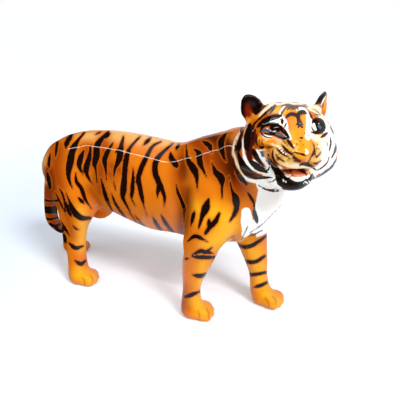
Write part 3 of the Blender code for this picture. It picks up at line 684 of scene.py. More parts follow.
WHITE_CHEEK = [
    [(212, 90, 0.8), (210, 180, 1.6), (215, 260, 2), (232, 330, 3), (265, 395, 3.4), (330, 450, 3.4),
     (410, 482, 4), (500, 500, 5)],
    [(240, 560, 3), (320, 590, 4), (420, 590, 6), (520, 590, 8), (600, 620, 8)],
    [(420, 560, 4), (520, 540, 6), (580, 520, 6), (600, 580, 8), (640, 660, 6)],
    [(440, 650, 3), (520, 670, 4), (600, 680, 4)],
    [(325, 345, 1.2), (385, 395, 2.2), (445, 445, 2.8), (500, 490, 3)],
    [(372, 232, 1.4), (400, 285, 3), (440, 330, 4), (475, 370, 4.4), (510, 430, 5), (530, 490, 5)],
    [(395, 238, 0.8), (465, 234, 1)],
]
WHITE_BROW = [
    [(160, 160, 2), (115, 215, 2.8), (98, 285, 2.6)],
    [(120, 270, 2.6), (150, 310, 3.4), (160, 370, 5), (165, 430, 6), (195, 490, 5)],
    [(280, 205, 2.4), (320, 190, 3), (360, 208, 3), (386, 260, 3.6), (392, 330, 4), (396, 400, 5.4),
     (392, 480, 6)],
    [(410, 300, 3), (415, 380, 4), (410, 450, 6)],
    [(0, 300, 2.6), (50, 300, 3.4), (95, 325, 3), (115, 370, 2.4)],
    [(560, 320, 3), (580, 380, 5), (575, 440, 6)], [(570, 340, 3), (600, 400, 3), (600, 460, 3)],
]
WHITE_MUZZLE = [
    [(655, 130, 6), (655, 200, 8), (645, 270, 9), (600, 310, 8), (550, 350, 6), (530, 380, 4)],
    [(700, 120, 8), (710, 220, 9), (690, 320, 8), (620, 350, 6)], [(560, 300, 3), (580, 320, 5)],
    [(620, 30, 3), (640, 60, 4), (645, 100, 4)],
    [(505, 425, 3), (560, 415, 5), (630, 385, 6), (690, 330, 6), (735, 260, 5)],
    [(690, -40, 8), (715, 20, 9), (725, 90, 8), (730, 170, 7)],
]
WHITE_EAR = [[(470, 462, 1.4), (530, 448, 2.4), (600, 446, 3), (660, 455, 3)]]
paint("white", at_cheek(WHITE_CHEEK) + at_ear(WHITE_EAR), both_cheeks=True)
paint("white", at_brow(WHITE_BROW) + at_muzzle(WHITE_MUZZLE))
print("cream and white strokes:", len(cream) + len(WHITE_CHEEK) + len(WHITE_BROW) + len(WHITE_MUZZLE))


# %% Gold, orange and brown of the face
GOLD_BROW = [
    [(30, 190, 8), (90, 218, 9), (160, 218, 9), (230, 228, 8)],
    [(300, 290, 6), (305, 380, 12), (310, 440, 15), (310, 500, 17)],
    [(40, 190, 4), (70, 230, 5), (100, 250, 3)], [(150, 205, 3), (210, 215, 4), (260, 235, 3)],
    [(350, 270, 4), (340, 330, 5), (360, 390, 5)], [(250, 430, 10), (290, 470, 16), (300, 520, 16)],
    [(20, 480, 3), (60, 505, 3)],
]
GOLD_MUZZLE = [
    [(390, 0, 17), (395, 50, 19), (410, 100, 19), (420, 140, 12)],
    [(400, 20, 12), (410, 90, 12), (430, 130, 8)], [(560, 60, 6), (560, 110, 8), (570, 160, 7)],
    [(160, 210, 4), (220, 225, 6), (290, 235, 6)],
    [(150, 140, 8), (190, 170, 12), (240, 200, 12), (300, 220, 8)],
    [(240, 60, 5), (290, 100, 7), (330, 120, 5)], [(180, 80, 4), (220, 120, 5), (260, 150, 4)],
    [(500, 215, 3), (540, 230, 5), (580, 210, 4)],
]
GOLD_EAR = [
    [(390, 410, 4)], [(600, 300, 5), (640, 330, 6)],
]
GOLD_CHEEK = [[(350, 60, 4), (390, 110, 6), (440, 140, 7), (520, 160, 7), (580, 170, 5)]]
gold_face = at_brow(GOLD_BROW) + at_muzzle(GOLD_MUZZLE) + at_ear(GOLD_EAR) + at_cheek(GOLD_CHEEK)
paint("gold", gold_face, soft=2.4)
BRIGHT_BROW = [
    [(215, 310, 3), (225, 360, 5), (250, 410, 5)], [(265, 300, 4), (300, 400, 8), (310, 470, 12)],
]
BRIGHT_MUZZLE = [
    [(380, 40, 6), (400, 100, 9), (380, 140, 5)], [(0, 30, 3), (50, 40, 6), (110, 30, 6), (150, 50, 4)],
    [(300, 130, 3), (320, 170, 4)],
]
TAN_MUZZLE = [
    [(130, 130, 7), (170, 165, 12), (225, 200, 13), (290, 225, 9)],
    [(170, 60, 5), (230, 70, 7), (290, 110, 7), (320, 150, 5)],
    [(555, 70, 4), (565, 130, 6), (570, 190, 6)], [(470, 215, 3), (520, 235, 5), (570, 215, 4)],
]
TAN_CHEEK = [[(470, 250, 3), (480, 300, 5), (500, 350, 3)]]
paint("tan", at_muzzle(TAN_MUZZLE) + at_cheek(TAN_CHEEK), soft=2.4)
BRIGHT_EAR = [[(235, 405, 4), (285, 405, 8), (335, 385, 6), (370, 350, 3)]]
paint("bright", at_brow(BRIGHT_BROW) + at_muzzle(BRIGHT_MUZZLE) + at_ear(BRIGHT_EAR), soft=2)
RUST_CHEEK = [
    [(385, 20, 3), (360, 90, 4), (350, 160, 4), (360, 200, 3)],
    [(380, 210, 2), (430, 175, 4), (500, 190, 5), (560, 210, 4)],
    [(275, 280, 2), (300, 315, 3.6), (325, 340, 2)], [(600, 130, 3), (620, 200, 5), (580, 260, 4)],
    [(150, 270, 2), (150, 320, 4), (165, 345, 2)],
]
RUST_EAR = [
    [(300, 420, 3), (360, 440, 4), (330, 480, 3)],
    [(480, 370, 3), (440, 410, 4), (390, 470, 4), (370, 530, 3)],
]
paint("rust_and_painted_shade", at_cheek(RUST_CHEEK) + at_ear(RUST_EAR), soft=1.6)
FOREHEAD_BROWN = [[(135, 168, 3), (220, 172, 5), (300, 160, 5), (335, 178, 3)]]
paint("umber_and_painted_shade", at_brow(FOREHEAD_BROWN), soft=2)
PLUM_CHEEK = [
    [(292, 187, 3), (282, 257, 5), (292, 340, 4), (330, 400, 3)],
    [(205, -30, 2), (190, 40, 3), (178, 90, 3)],
    [(318, -40, 3), (322, 40, 4.4), (318, 120, 4.4), (300, 200, 3), (290, 240, 1.6)],
    [(95, 330, 1.4), (112, 420, 2.4), (160, 510, 3), (215, 585, 3), (250, 640, 2)],
    [(305, 0, 1.6), (302, 100, 1.8), (305, 200, 1.4), (318, 250, 1)],
    [(352, 0, 2), (345, 90, 2.2), (332, 170, 1.6)], [(376, 60, 1.4), (364, 130, 2), (385, 190, 1.2)],
    [(505, 290, 2), (510, 350, 2.4), (520, 400, 2)], [(440, 110, 0.6), (430, 150, 1.3), (450, 175, 0.7)],
    [(470, 200, 0.5), (520, 205, 1.1), (560, 190, 0.5)],
    [(410, 100, 0.6), (400, 140, 1.2), (410, 172, 0.7)],
]
PLUM_BROW = [
    [(215, 205, 0.5), (240, 190, 1), (262, 200, 0.5)], [(175, 210, 0.5), (190, 190, 1), (215, 178, 0.5)],
    [(262, 172, 0.6), (282, 190, 1.2), (290, 220, 0.6)],
    [(425, 190, 0.4), (470, 210, 0.9), (520, 250, 0.4)],
    [(560, 250, 0.4), (590, 290, 0.9), (600, 340, 0.4)],
    [(640, 260, 0.4), (660, 330, 1), (668, 400, 0.5)], [(62, 158, 1.4), (25, 205, 2), (0, 240, 1.4)],
    [(166, 168, 1), (125, 228, 1.6), (108, 262, 0.8)],
    (2.4, [(110, 160, 1), (180, 152, 2.4), (250, 170, 2.4), (300, 150, 1)], (0.5, 0.5)),
    [(525, 485, 1.6), (560, 460, 3), (592, 436, 1.2)], [(308, 488, 1.4), (328, 492, 1.8)],
    [(356, 442, 1.2)], [(390, 462, 1.2)], [(590, 300, 0.8), (620, 360, 2), (650, 440, 1.4)],
]
PLUM_MUZZLE = [
    [(215, 20, 0.5), (240, 52, 1.1), (262, 80, 0.6)], [(170, 92, 0.5), (205, 125, 1.1), (240, 158, 0.6)],
    [(255, 205, 0.5), (290, 215, 1), (330, 240, 0.6)], [(552, 130, 0.5), (548, 170, 1), (560, 205, 0.5)],
    [(330, 20, 1.3)], [(360, 60, 1.2)], [(395, 30, 1.1)], [(425, 70, 1.1)], [(350, 120, 1.1)],
    [(585, 110, 1.1)], [(250, 10, 1), (275, 38, 3), (300, 75, 2.6), (325, 105, 1.4)],
    [(200, 68, 1), (232, 105, 2.4), (268, 142, 2.4), (305, 170, 1.4)],
    [(148, 108, 1), (185, 140, 2.4), (228, 170, 2.4), (266, 192, 1.2)],
    [(140, 165, 1), (170, 205, 1.8), (225, 240, 1.4)],
    [(112, 120, 1), (108, 180, 2), (130, 240, 2), (175, 280, 1.4)],
    [(300, 140, 1.2), (322, 182, 2), (352, 222, 3), (386, 236, 2.6)],
    [(335, 148, 1.2), (380, 160, 1.8), (425, 170, 2.2), (448, 182, 1.2)],
    [(522, 55, 0.8), (536, 105, 1.4), (534, 150, 3), (508, 188, 1.4)],
    [(498, 200, 1.2), (482, 236, 1.6), (470, 262, 1)],
    [(606, 140, 0.8), (585, 170, 1.4), (555, 200, 1.6)], [(500, 250, 1), (556, 262, 1.8), (605, 234, 1)],
    [(540, 75, 1.2)], [(195, 190, 0.8), (215, 200, 1.3)], [(250, 225, 0.8), (272, 228, 1.3)],
    [(310, 205, 0.8), (325, 215, 1.2)], [(150, 200, 0.8), (160, 225, 1.2)], [(225, 135, 1.1)],
    [(265, 120, 1.1)], [(285, 145, 1.1)], [(572, 68, 1.2)], [(560, 110, 1.2)], [(210, 212, 1.1)],
    [(170, 170, 1.1)], [(130, 60, 1.1)],
]
lines = at_cheek(PLUM_CHEEK) + at_brow(PLUM_BROW) + at_muzzle(PLUM_MUZZLE)
paint("plum", lines, wide=1.22)
print("warm strokes:", len(gold_face) + len(RUST_CHEEK) + len(RUST_EAR), "and lines:", len(lines))


# %% Black bands of the ruff
RUFF_BLACK = [
    [(168, 80, 1), (160, 130, 5.4), (156, 190, 6.4), (150, 245, 3.6), (158, 290, 3), (180, 350, 5),
     (212, 420, 7.4), (262, 490, 8.6), (330, 535, 7), (430, 555, 3.6), (545, 556, 0.8)],
    [(290, -60, 3.4), (275, 0, 5.4), (264, 70, 7), (258, 140, 7), (255, 205, 5), (270, 245, 2)],
    [(212, -60, 1.2), (196, -10, 2), (176, 50, 1.6)],
    [(285, 365, 1.2), (335, 400, 5.6), (395, 445, 6), (465, 484, 3), (503, 496, 0.8)],
    [(325, 225, 1.6), (345, 270, 5), (370, 320, 4.4), (405, 372, 3), (452, 422, 1)],
    [(398, 185, 1), (430, 204, 2.8), (455, 192, 1)], [(532, 350, 2), (545, 400, 3), (570, 450, 4)],
    [(396, 650, 0.8), (450, 680, 1.6), (530, 705, 1.6), (620, 712, 1.2)],
]
RUFF_FLICKS = [
    [(240, 90, 0.5), (236, 150, 1.1), (242, 210, 0.5)], [(128, 120, 0.4), (118, 200, 1), (122, 280, 0.4)],
    [(560, 300, 0.5), (575, 350, 1.2), (600, 400, 0.6)],
    [(610, 560, 0.4), (560, 600, 1), (500, 612, 0.5)], [(520, 430, 1), (500, 470, 1.2), (470, 482, 0.5)],
    [(470, 330, 0.5), (490, 370, 0.9), (510, 380, 0.5)],
    [(420, 420, 0.5), (470, 455, 0.9), (500, 470, 0.5)],
]
RIGHT_RUFF_BLACK = [
    [(540, 418, 1), (600, 384, 2.2), (655, 345, 2.4), (720, 290, 2), (760, 220, 1.4)],
    [(560, 332, 0.6), (620, 300, 1.2), (668, 250, 1), (690, 190, 0.6)],
    [(752, -20, 0.8), (762, 60, 2), (745, 140, 2), (715, 200, 1)],
    [(700, -10, 0.8), (705, 60, 1.6), (690, 130, 1)],
]
paint("black", at_cheek(RUFF_BLACK + RUFF_FLICKS), both_cheeks=True)
paint("black", at_muzzle(RIGHT_RUFF_BLACK))
print("ruff strokes:", len(RUFF_BLACK) + len(RUFF_FLICKS) + len(RIGHT_RUFF_BLACK))


# %% Eyes, brows and forehead
BROW_BLACK = [
    [(162, 292, 1.2), (192, 256, 3), (235, 246, 3.4), (284, 270, 3)],
    [(288, 264, 2.6), (308, 232, 4), (345, 226, 3.6), (378, 246, 1.2)],
    [(284, 250, 3), (290, 300, 3.4), (290, 335, 2.6), (268, 362, 1)],
    [(300, 300, 1.8), (318, 335, 1.6), (334, 356, 0.8)],
    [(290, 335, 1.8), (298, 365, 1.8), (282, 392, 0.8)], [(300, 352, 1.2), (330, 386, 1.6)],
    [(126, 298, 1.6), (126, 325, 3), (122, 345, 1.4)],
    [(166, 338, 0.8), (154, 366, 1.4), (140, 392, 0.8)],
    [(402, 228, 0.8), (420, 265, 1.6), (432, 292, 0.8)],
]
BROW_NEAR = [
    [(668, 378, 2), (610, 388, 4.6), (550, 404, 5.4), (480, 436, 5), (420, 478, 4), (385, 512, 2)],
    [(502, 236, 1), (445, 288, 1.8), (398, 340, 1.4), (368, 362, 0.8)],
    [(592, 250, 1.2), (525, 308, 2), (462, 364, 2), (402, 420, 1.8), (352, 470, 1.6), (330, 502, 1)],
    [(345, 490, 1), (334, 560, 2.2), (334, 650, 2)],
]
LIDS_BLACK = [
    [(425, 560, 1.6), (440, 520, 2.6), (480, 488, 3.4), (545, 480, 4), (620, 500, 4.6), (680, 540, 4.4),
     (740, 610, 3), (770, 655, 1.2)],
    [(425, 560, 1.4), (445, 600, 1.8), (490, 628, 1.6), (560, 640, 0.8)], [(560, 520, 5), (620, 530, 7)],
    [(430, 590, 1), (470, 588, 1.6), (520, 596, 1.6), (590, 606, 1.6), (640, 630, 1.4), (700, 655, 1)],
    [(540, 570, 4), (585, 580, 4)], [(640, 610, 2), (690, 640, 3), (750, 650, 2)],
]
FAR_LIDS_BLACK = [
    [(438, 318, 1.6), (478, 302, 3.6), (525, 322, 4.6), (552, 370, 4), (545, 415, 3)],
    [(458, 335, 6), (490, 345, 9), (505, 380, 9), (480, 405, 8), (455, 385, 6)],
    [(422, 432, 1.4), (470, 440, 2), (520, 432, 2.6), (545, 415, 2.4)], [(500, 385, 1.6), (530, 400, 3)],
]
paint("black", at_brow(BROW_BLACK + FAR_LIDS_BLACK) + at_ear(BROW_NEAR + LIDS_BLACK))
# the first two strokes are a painted reflection in the dark of the near eye; the third is a grey-blue line
# above its lid
SLATE_EAR = [
    [(440, 560, 2), (470, 548, 3), (505, 552, 3), (520, 575, 2)],
    [(610, 578, 2), (650, 600, 2.8), (695, 630, 1.6)], [(500, 462, 0.8), (560, 462, 1.4), (640, 468, 1)],
]
# the first stroke is a painted reflection in the dark of the far eye
SLATE_BROW = [
    [(500, 370, 2.4), (515, 385, 3)], [(445, 262, 0.8), (480, 250, 1.4), (515, 262, 0.8)],
    [(290, 160, 1), (340, 160, 2), (390, 175, 1)],
]
SLATE_CHEEK = [[(432, 262, 3), (442, 300, 3)]]
paint("slate_and_eye_reflection", at_ear(SLATE_EAR) + at_brow(SLATE_BROW) + at_cheek(SLATE_CHEEK))
print("brow and eye strokes:", len(BROW_BLACK) + len(BROW_NEAR) + len(LIDS_BLACK) + len(FAR_LIDS_BLACK))


# %% Mouth and chin
MOUTH_DARK = [
    [(215, 322, 1), (260, 330, 2), (330, 332, 3.4), (400, 336, 3.4), (450, 345, 3)],
    [(225, 345, 2), (250, 372, 4), (285, 392, 3)], [(300, 350, 3), (430, 365, 5)],
    [(190, 285, 1.2), (240, 305, 2)],
]
paint("maroon", at_muzzle(MOUTH_DARK))
CHIN_BLACK = [
    [(98, 235, 1.4), (112, 290, 3.4), (140, 335, 4), (165, 390, 6), (190, 450, 8)],
    [(200, 400, 5), (225, 460, 9), (260, 510, 8)],
    [(165, 330, 3), (190, 365, 5), (220, 400, 6), (255, 425, 5), (285, 440, 4)],
    [(118, 250, 1), (150, 300, 3), (170, 340, 4)],
    [(280, 455, 6), (350, 470, 8), (430, 465, 8), (490, 440, 7), (505, 400, 5)],
    [(260, 510, 7), (340, 515, 9), (430, 510, 9), (490, 480, 7)],
    [(518, 372, 1.6), (522, 420, 4), (510, 460, 4)], (1.4, [(270, 535), (266, 558)], (1, 0.3)),
    (1.4, [(310, 540), (308, 562)], (1, 0.3)), (1.4, [(350, 542), (350, 564)], (1, 0.3)),
    (1.4, [(390, 542), (394, 562)], (1, 0.3)), (1.4, [(430, 535), (436, 556)], (1, 0.3)),
]
LIP_BLACK = [
    [(385, 285, 1), (400, 270, 2), (440, 268, 3.4), (485, 280, 3.4), (520, 302, 2.4), (552, 330, 1)],
    [(20, 395, 1), (60, 402, 1.6), (105, 406, 0.8)],
]
paint("black", at_muzzle(CHIN_BLACK + LIP_BLACK))
TONGUE = [
    [(325, 352, 4), (370, 366, 7), (415, 380, 5)], [(235, 365, 2), (260, 385, 2)],
]
paint("salmon", at_muzzle(TONGUE))
# teeth, whisker roots and chin specks, and a painted highlight on the nose tip
WHITES_AND_NOSE_GLINT = [
    [(228, 352, 1.6), (262, 385, 3.4), (288, 378, 2.4)],
    [(300, 408, 2.6), (350, 424, 4.2), (405, 420, 4), (440, 402, 3)], [(462, 404, 2.6), (482, 384, 2.4)],
    [(450, 338, 1.4), (470, 356, 2)], [(165, 85, 1.8)], [(182, 106, 1.8)], [(202, 130, 1.9)],
    [(218, 150, 1.8)], [(244, 166, 1.5)], [(330, 76, 1.8)],
    # painted highlight on the nose tip
    [(448, 118, 1.2), (466, 145, 2.6), (450, 158, 1.8)], [(215, 425, 1.2), (222, 445, 1.2)],
    [(242, 440, 1), (248, 460, 1)], [(440, 448, 1.2), (468, 462, 1.2)], [(425, 462, 1), (436, 474, 1)],
    [(480, 440, 1), (490, 452, 1)],
]
# painted highlights: glints in the near eye
NEAR_EYE_GLINTS = [
    [(566, 566, 0.8), (600, 562, 1.3)], [(455, 596, 0.8), (500, 618, 1.4), (560, 628, 1)],
    [(530, 545, 0.7), (548, 560, 1)], [(496, 525, 0.8), (510, 535, 1)],
]
# painted highlight: the bright white in the far eye
FAR_EYE_GLINT = [
    [(448, 350, 2.4), (452, 380, 3.4), (466, 405, 2.6)], [(500, 345, 1)],
]
paint("light", at_muzzle(WHITES_AND_NOSE_GLINT) + at_ear(NEAR_EYE_GLINTS) + at_brow(FAR_EYE_GLINT))
print("mouth strokes:", len(CHIN_BLACK) + len(LIP_BLACK) + len(WHITES_AND_NOSE_GLINT))


# %% Ears
EAR_BLACK = [
    [(215, 440, 3), (192, 380, 4.4), (186, 310, 5), (190, 240, 6), (222, 178, 7.4), (275, 155, 8),
     (330, 185, 9), (385, 240, 9), (410, 280, 6), (385, 330, 4), (350, 350, 2)],
]
EAR_FILL = [[(205, 420, 5), (215, 350, 9), (240, 270, 12), (300, 225, 12), (350, 270, 9), (345, 320, 5)]]
paint("black", at_ear(EAR_BLACK + EAR_FILL))
FAR_EAR_BLACK = [[(440, 118, 3), (485, 120, 5), (530, 90, 6.4), (548, 50, 5), (556, 25, 4)]]
paint("black", at_brow(FAR_EAR_BLACK))
EAR_RED = [[(268, 255, 3), (276, 310, 6), (284, 365, 7)]]
paint("ear red", at_ear(EAR_RED), soft=2)
EAR_DEPTH = 9
for ear in ((251, 104), (320, 101)):
    x, y, z = measured_on_head(tree.ray_cast(eye, sight_line(*ear))[0])
    x -= EAR_DEPTH
    arch = [on_head(x, y + side, z + up) / MM for side, up in ((-7, -4), (-3, 2), (3, 2), (7, -4))]
    brush_on("black", on_skin(11, arch))
    brush_on("light", on_skin(4, [on_head(x, y, z + up) / MM for up in (-1, 2)]))
FAR_EAR_RIM = [[(524, 160, 0.8), (545, 110, 1.4), (572, 62, 0.8)]]
paint("light", at_brow(FAR_EAR_RIM))
FAR_EAR_ORANGE = [[(576, 70, 1.6), (574, 120, 4), (572, 190, 5)]]
paint("ear orange", at_brow(FAR_EAR_ORANGE))
print("layers so far:", sorted(layers))


# %% Toes
TOE_LINES = [
    [(214.5, 306, 0.5), (216.5, 311, 1), (216, 316, 0.6)],
    [(206.5, 308, 0.5), (208.5, 313.5, 1), (208.5, 318.5, 0.6)],
    [(197.5, 309, 0.5), (199.5, 315, 1), (199.5, 320, 0.6)],
    [(272, 296, 0.5), (275.5, 300.5, 1), (276, 305, 0.6)],
    [(265, 297.5, 0.5), (268.5, 303, 1), (269, 307.5, 0.6)],
    [(90, 275.5, 0.5), (92.5, 279, 1), (92, 283.5, 0.6)],
    [(82, 277, 0.5), (84.5, 281, 1), (84.5, 285.5, 0.6)],
]
paint("rust_and_painted_shade", TOE_LINES, soft=1.2)
print("toe lines:", len(TOE_LINES))


# %% [markdown]
# ## The sides that the picture hides
# Nothing shows how the back of the head, the inner legs or the tail's far side are painted. A painter
# rings each leg and the tail, draws bands over the nape, and blackens the ear backs with a pale spot, so
# we do that. These strokes have no place in the picture, so they are laid on the skin by place and
# measured in millimetres.

# %% The sides that the picture hides
NEAR_HIND = (-105, -55, -40, -2)
FAR_HIND = (-150, -80, 12, 50)
NEAR_FORE = (25, 75, -40, 2)
FAR_FORE = (60, 115, 12, 50)
TAIL_BOX = (-160, -118, -8, 12)
LEG_RINGS = [
    (4, 62, NEAR_HIND, (60, 170)),
    (3.4, 48, NEAR_HIND, (90, 200)),
    (3, 34, NEAR_HIND, (100, 190)),
    (4, 70, FAR_HIND, (20, 150)),
    (4, 58, FAR_HIND, (40, 200)),
    (3.4, 45, FAR_HIND, (30, 150)),
    (3.4, 33, FAR_HIND, (60, 210)),
    (3.4, 66, NEAR_FORE, (20, 140)),
    (3, 52, NEAR_FORE, (60, 190)),
    (3, 36, NEAR_FORE, (30, 150)),
    (3.4, 72, FAR_FORE, (60, 190)),
    (3, 59, FAR_FORE, (50, 180)),
    (3, 46, FAR_FORE, (70, 200)),
    (3, 33, FAR_FORE, (50, 170)),
]
TAIL_RINGS = [(3.6, height, TAIL_BOX, (25, 150)) for height in (106, 94, 82, 71, 60, 50)]
for of_ring in LEG_RINGS + TAIL_RINGS:
    brush_on("black", ring(*of_ring))
NAPE_STRIPES = [
    (5, [(-20, -22, 26), (-27, -8, 24), (-29, 8, 24), (-24, 22, 26)]),
    (5, [(-28, -26, 8), (-34, -10, 10), (-35, 8, 10), (-30, 24, 6)]),
    (5, [(-32, -24, -12), (-38, -8, -8), (-37, 10, -8), (-31, 26, -14)]),
    (4, [(-10, 30, 18), (-18, 30, 6), (-20, 33, -8), (-14, 32, -22)]),
    (4, [(-2, -6, 32), (-12, -8, 32), (-20, -6, 30)]),
    (4, [(-2, 6, 32), (-12, 8, 32), (-20, 7, 30)]),
]
for width, places in NAPE_STRIPES:
    brush_on("black", on_skin(width, [on_head(*place) / MM for place in places]))
print("hidden strokes:", len(LEG_RINGS) + len(TAIL_RINGS) + len(NAPE_STRIPES))


# %% Keep the layers on the skin
for name, values in layers.items():
    attribute = china.data.attributes.new(name, "FLOAT", "POINT")
    attribute.data.foreach_set("value", values.astype(np.float32))
print("layers:", ", ".join(f"{name} {int((values > 0).sum())}" for name, values in layers.items()))


# %% [markdown]
# ## Underglaze colour and clear glaze
# Earthenware under a transparent lead-free glaze: the colour lies in the clay's skin and the glaze is a
# coat of glass over it, about 0.2 mm thick. So the base is a matt colour and a clear coat gives the
# shine. The index of refraction of such a glaze is about 1.45, and it is nearly mirror-smooth. Each colour
# is one layer, and its share comes from the distance inside its strokes, so soft colours fade and the
# black has a crisp edge.

# %% Colours


def linear(hex_code):
    """An sRGB hex value as the linear colour that shaders use."""
    parts = [int(hex_code[i : i + 2], 16) / 255 for i in (1, 3, 5)]
    return (*[c / 12.92 if c <= 0.04045 else ((c + 0.055) / 1.055) ** 2.4 for c in parts], 1)


OCHRE = linear("#DA861A")
TAWNY = linear("#CC6C10")
# the next three are coat colours, and also painted shade on the neck, in the crease behind the shoulder and
# down the left sides of the rump and legs
FLAME_AND_SHADE = linear("#D05A06")
RUST_AND_SHADE = linear("#963C06")
UMBER_AND_SHADE = linear("#561C04")
GOLD = linear("#ECA51C")
# a pale painted sheen for the back and the left edges of the rump and tail
PAINTED_SHEEN = linear("#DFA75E")
CREAM = linear("#FBE6BC")
BRIGHT = linear("#F0900F")
HALO = linear("#B8580E")
TAN = linear("#DCAA5A")
PLUM = linear("#421410")
WHITE = linear("#FBFAF3")
BLACK = linear("#180A06")
STRIPE_EDGE = linear("#3F1206")
MAROON = linear("#7B1F08")
SALMON = linear("#F09A78")
# slate: grey-blue lines, and a painted reflection in the dark of the eyes
SLATE = linear("#4A5E72")
GREY = linear("#3A4648")

print("black, linear:", [round(c, 4) for c in BLACK[:3]])


# %% Nodes of the glaze


def fresh_nodes(owner):
    """The emptied nodes and links of a material or the world, which add then fills."""
    owner.use_nodes = True
    owner.node_tree.nodes.clear()
    return owner.node_tree.nodes, owner.node_tree.links


def add(kind, inputs=None, **settings):
    """A shader node with its settings, and its inputs set to values or linked to sockets."""
    made = nodes.new(kind)
    for key, value in settings.items():
        setattr(made, key, value)
    for key, value in (inputs or {}).items():
        if isinstance(value, bpy.types.NodeSocket):
            links.new(value, made.inputs[key])
        else:
            made.inputs[key].default_value = value
    return made


# white earthenware, painted and dipped in clear glaze: matt colours under a wet, nearly mirror-smooth shine
glaze = bpy.data.materials.new("glazed_painted_earthenware")
nodes, links = fresh_nodes(glaze)
print("material:", glaze.name)


# %% Layers into colour
# how many fit in a metre: shakes of the hand 2.4 mm long, sponge streaks 7 mm wide and 22 mm high, and the
# glaze's ripples of 11 mm
HAND_SHAKES, STREAKS, RIPPLES = 420, (140, 140, 45), 90
place = add("ShaderNodeTexCoord").outputs["Object"]
hand = add("ShaderNodeTexNoise", {"Vector": place, "Scale": HAND_SHAKES, "Detail": 2}).outputs["Fac"]
wobble = add("ShaderNodeMath", {0: hand, 1: 0.5}, operation="SUBTRACT").outputs[0]
streaks_at = add("ShaderNodeMapping", {"Vector": place, "Scale": STREAKS}).outputs["Vector"]
streaks = add("ShaderNodeTexNoise", {"Vector": streaks_at, "Scale": 1, "Detail": 3}).outputs["Fac"]
streaky = {"Value": streaks, "From Min": 0.42, "From Max": 0.75, "To Max": 0.6}
streak_share = add("ShaderNodeMapRange", streaky).outputs[0]
coat = add("ShaderNodeMix", {0: streak_share, 6: OCHRE, 7: TAWNY}, data_type="RGBA").outputs[2]

# strokes, colour, mm inside the edge where it starts and where it covers, how much the hand shakes
COAT_LAYERS = [
    # deeper orange, and painted shade down the left sides of the legs
    ("flame", FLAME_AND_SHADE, -1, 1, 0),
    # painted sheen along the back
    ("painted_sheen", PAINTED_SHEEN, -0.9, 1, 0),
    ("gold", GOLD, -1, 1, 0),
    # brown, and painted shade on the rump, the neck, the shoulder crease and the legs' left sides
    ("rust_and_painted_shade", RUST_AND_SHADE, -1, 1, 0),
    # dark brown: painted shade on the neck and in the shoulder crease, and the forehead's brown line
    ("umber_and_painted_shade", UMBER_AND_SHADE, -1, 1, 0),
    ("black", HALO, -1.9, 0.5, 0.6),
    ("cream", CREAM, -0.6, 0.8, 0.8),
    ("bright", BRIGHT, -1, 1, 0),
    ("tan", TAN, -1, 1, 1.5),
    ("white", WHITE, -0.5, 0.4, 1.2),
    ("plum", PLUM, -0.4, 0.4, 0.6),
    ("maroon", MAROON, -0.5, 0.8, 0),
    ("black", STRIPE_EDGE, -0.3, 0.1, 1),
    ("black", BLACK, 0, 0.45, 1),
    ("grey", GREY, -0.4, 0.4, 0.6),
    # grey-blue lines, and painted reflection in the eyes
    ("slate_and_eye_reflection", SLATE, -0.3, 0.3, 0),
    ("salmon", SALMON, -0.3, 0.3, 0),
    # whites of teeth, whisker roots and ear spots, and painted highlights in the eyes and on the nose
    ("light", WHITE, -0.3, 0.3, 0),
    ("ear red", MAROON, -1, 1, 0),
    ("ear orange", BRIGHT, -0.6, 0.6, 0),
]
for name, colour, low, high, shake in COAT_LAYERS:
    inside = add("ShaderNodeAttribute", attribute_name=name).outputs["Fac"]
    inside = add("ShaderNodeMath", {0: wobble, 1: shake, 2: inside}, operation="MULTIPLY_ADD").outputs[0]
    edge = {"Value": inside, "From Min": low, "From Max": high}
    share = add("ShaderNodeMapRange", edge, interpolation_type="SMOOTHSTEP").outputs["Result"]
    coat = add("ShaderNodeMix", {0: share, 6: coat, 7: colour}, data_type="RGBA").outputs[2]
print("coat of", len(COAT_LAYERS), "layers")


# %% Glass over it
ripple = add("ShaderNodeTexNoise", {"Vector": place, "Scale": RIPPLES, "Detail": 1}).outputs["Fac"]
bump = add("ShaderNodeBump", {"Height": ripple, "Strength": 0.05, "Distance": 0.0006}).outputs["Normal"]
surface = add(
    "ShaderNodeBsdfPrincipled",
    {
        "Base Color": coat,
        "Roughness": 0.5,
        "Specular IOR Level": 0.0,
        "Coat Weight": 0.75,
        "Coat Roughness": 0.04,
        "Coat IOR": 1.45,
        "Coat Normal": bump,
    },
)
add("ShaderNodeOutputMaterial", {"Surface": surface.outputs["BSDF"]})
china.data.materials.clear()
china.data.materials.append(glaze)
china.data.shade_smooth()
china.vertex_groups.clear()
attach(china, "root")
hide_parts("tiger_figurine")
print("glaze nodes:", len(nodes))


# %% [markdown]
# ## Table and light
# The photograph is taken in a white light tent. The table is one pale sheet that runs out of sight, with
# a painted bluish shade at the far left that deepens the shadow there. A broad sun-like lamp shines from
# the front right, a long tube overhead draws the bright line along the back, and a small lamp stands for a
# window. Glaze shows whatever stands round it, so a dark card that only reflections see keeps the colours
# deep, as black cards do in a product photographer's tent. The card is an emission: nearly black in front,
# it glows faintly at its foot and brightly at its top and towards its open ends, so the glaze shows
# painted reflections of light there.

# %% Rays that only look


def looked_at():
    """1 for rays from the camera, from gloss and through glass, and 0 for the rays that carry light."""
    rays = add("ShaderNodeLightPath").outputs
    seen = rays["Is Camera Ray"]
    for other in ("Is Transmission Ray", "Is Glossy Ray"):
        seen = add("ShaderNodeMath", {0: seen, 1: rays[other]}, operation="MAXIMUM").outputs[0]
    return seen


print("rays that look: camera, gloss and glass")


# %% Table
bpy.ops.object.select_all(action="DESELECT")
bpy.ops.mesh.primitive_plane_add(size=40, location=(0, 0, 0))
table = bpy.context.object
table.name = "table"
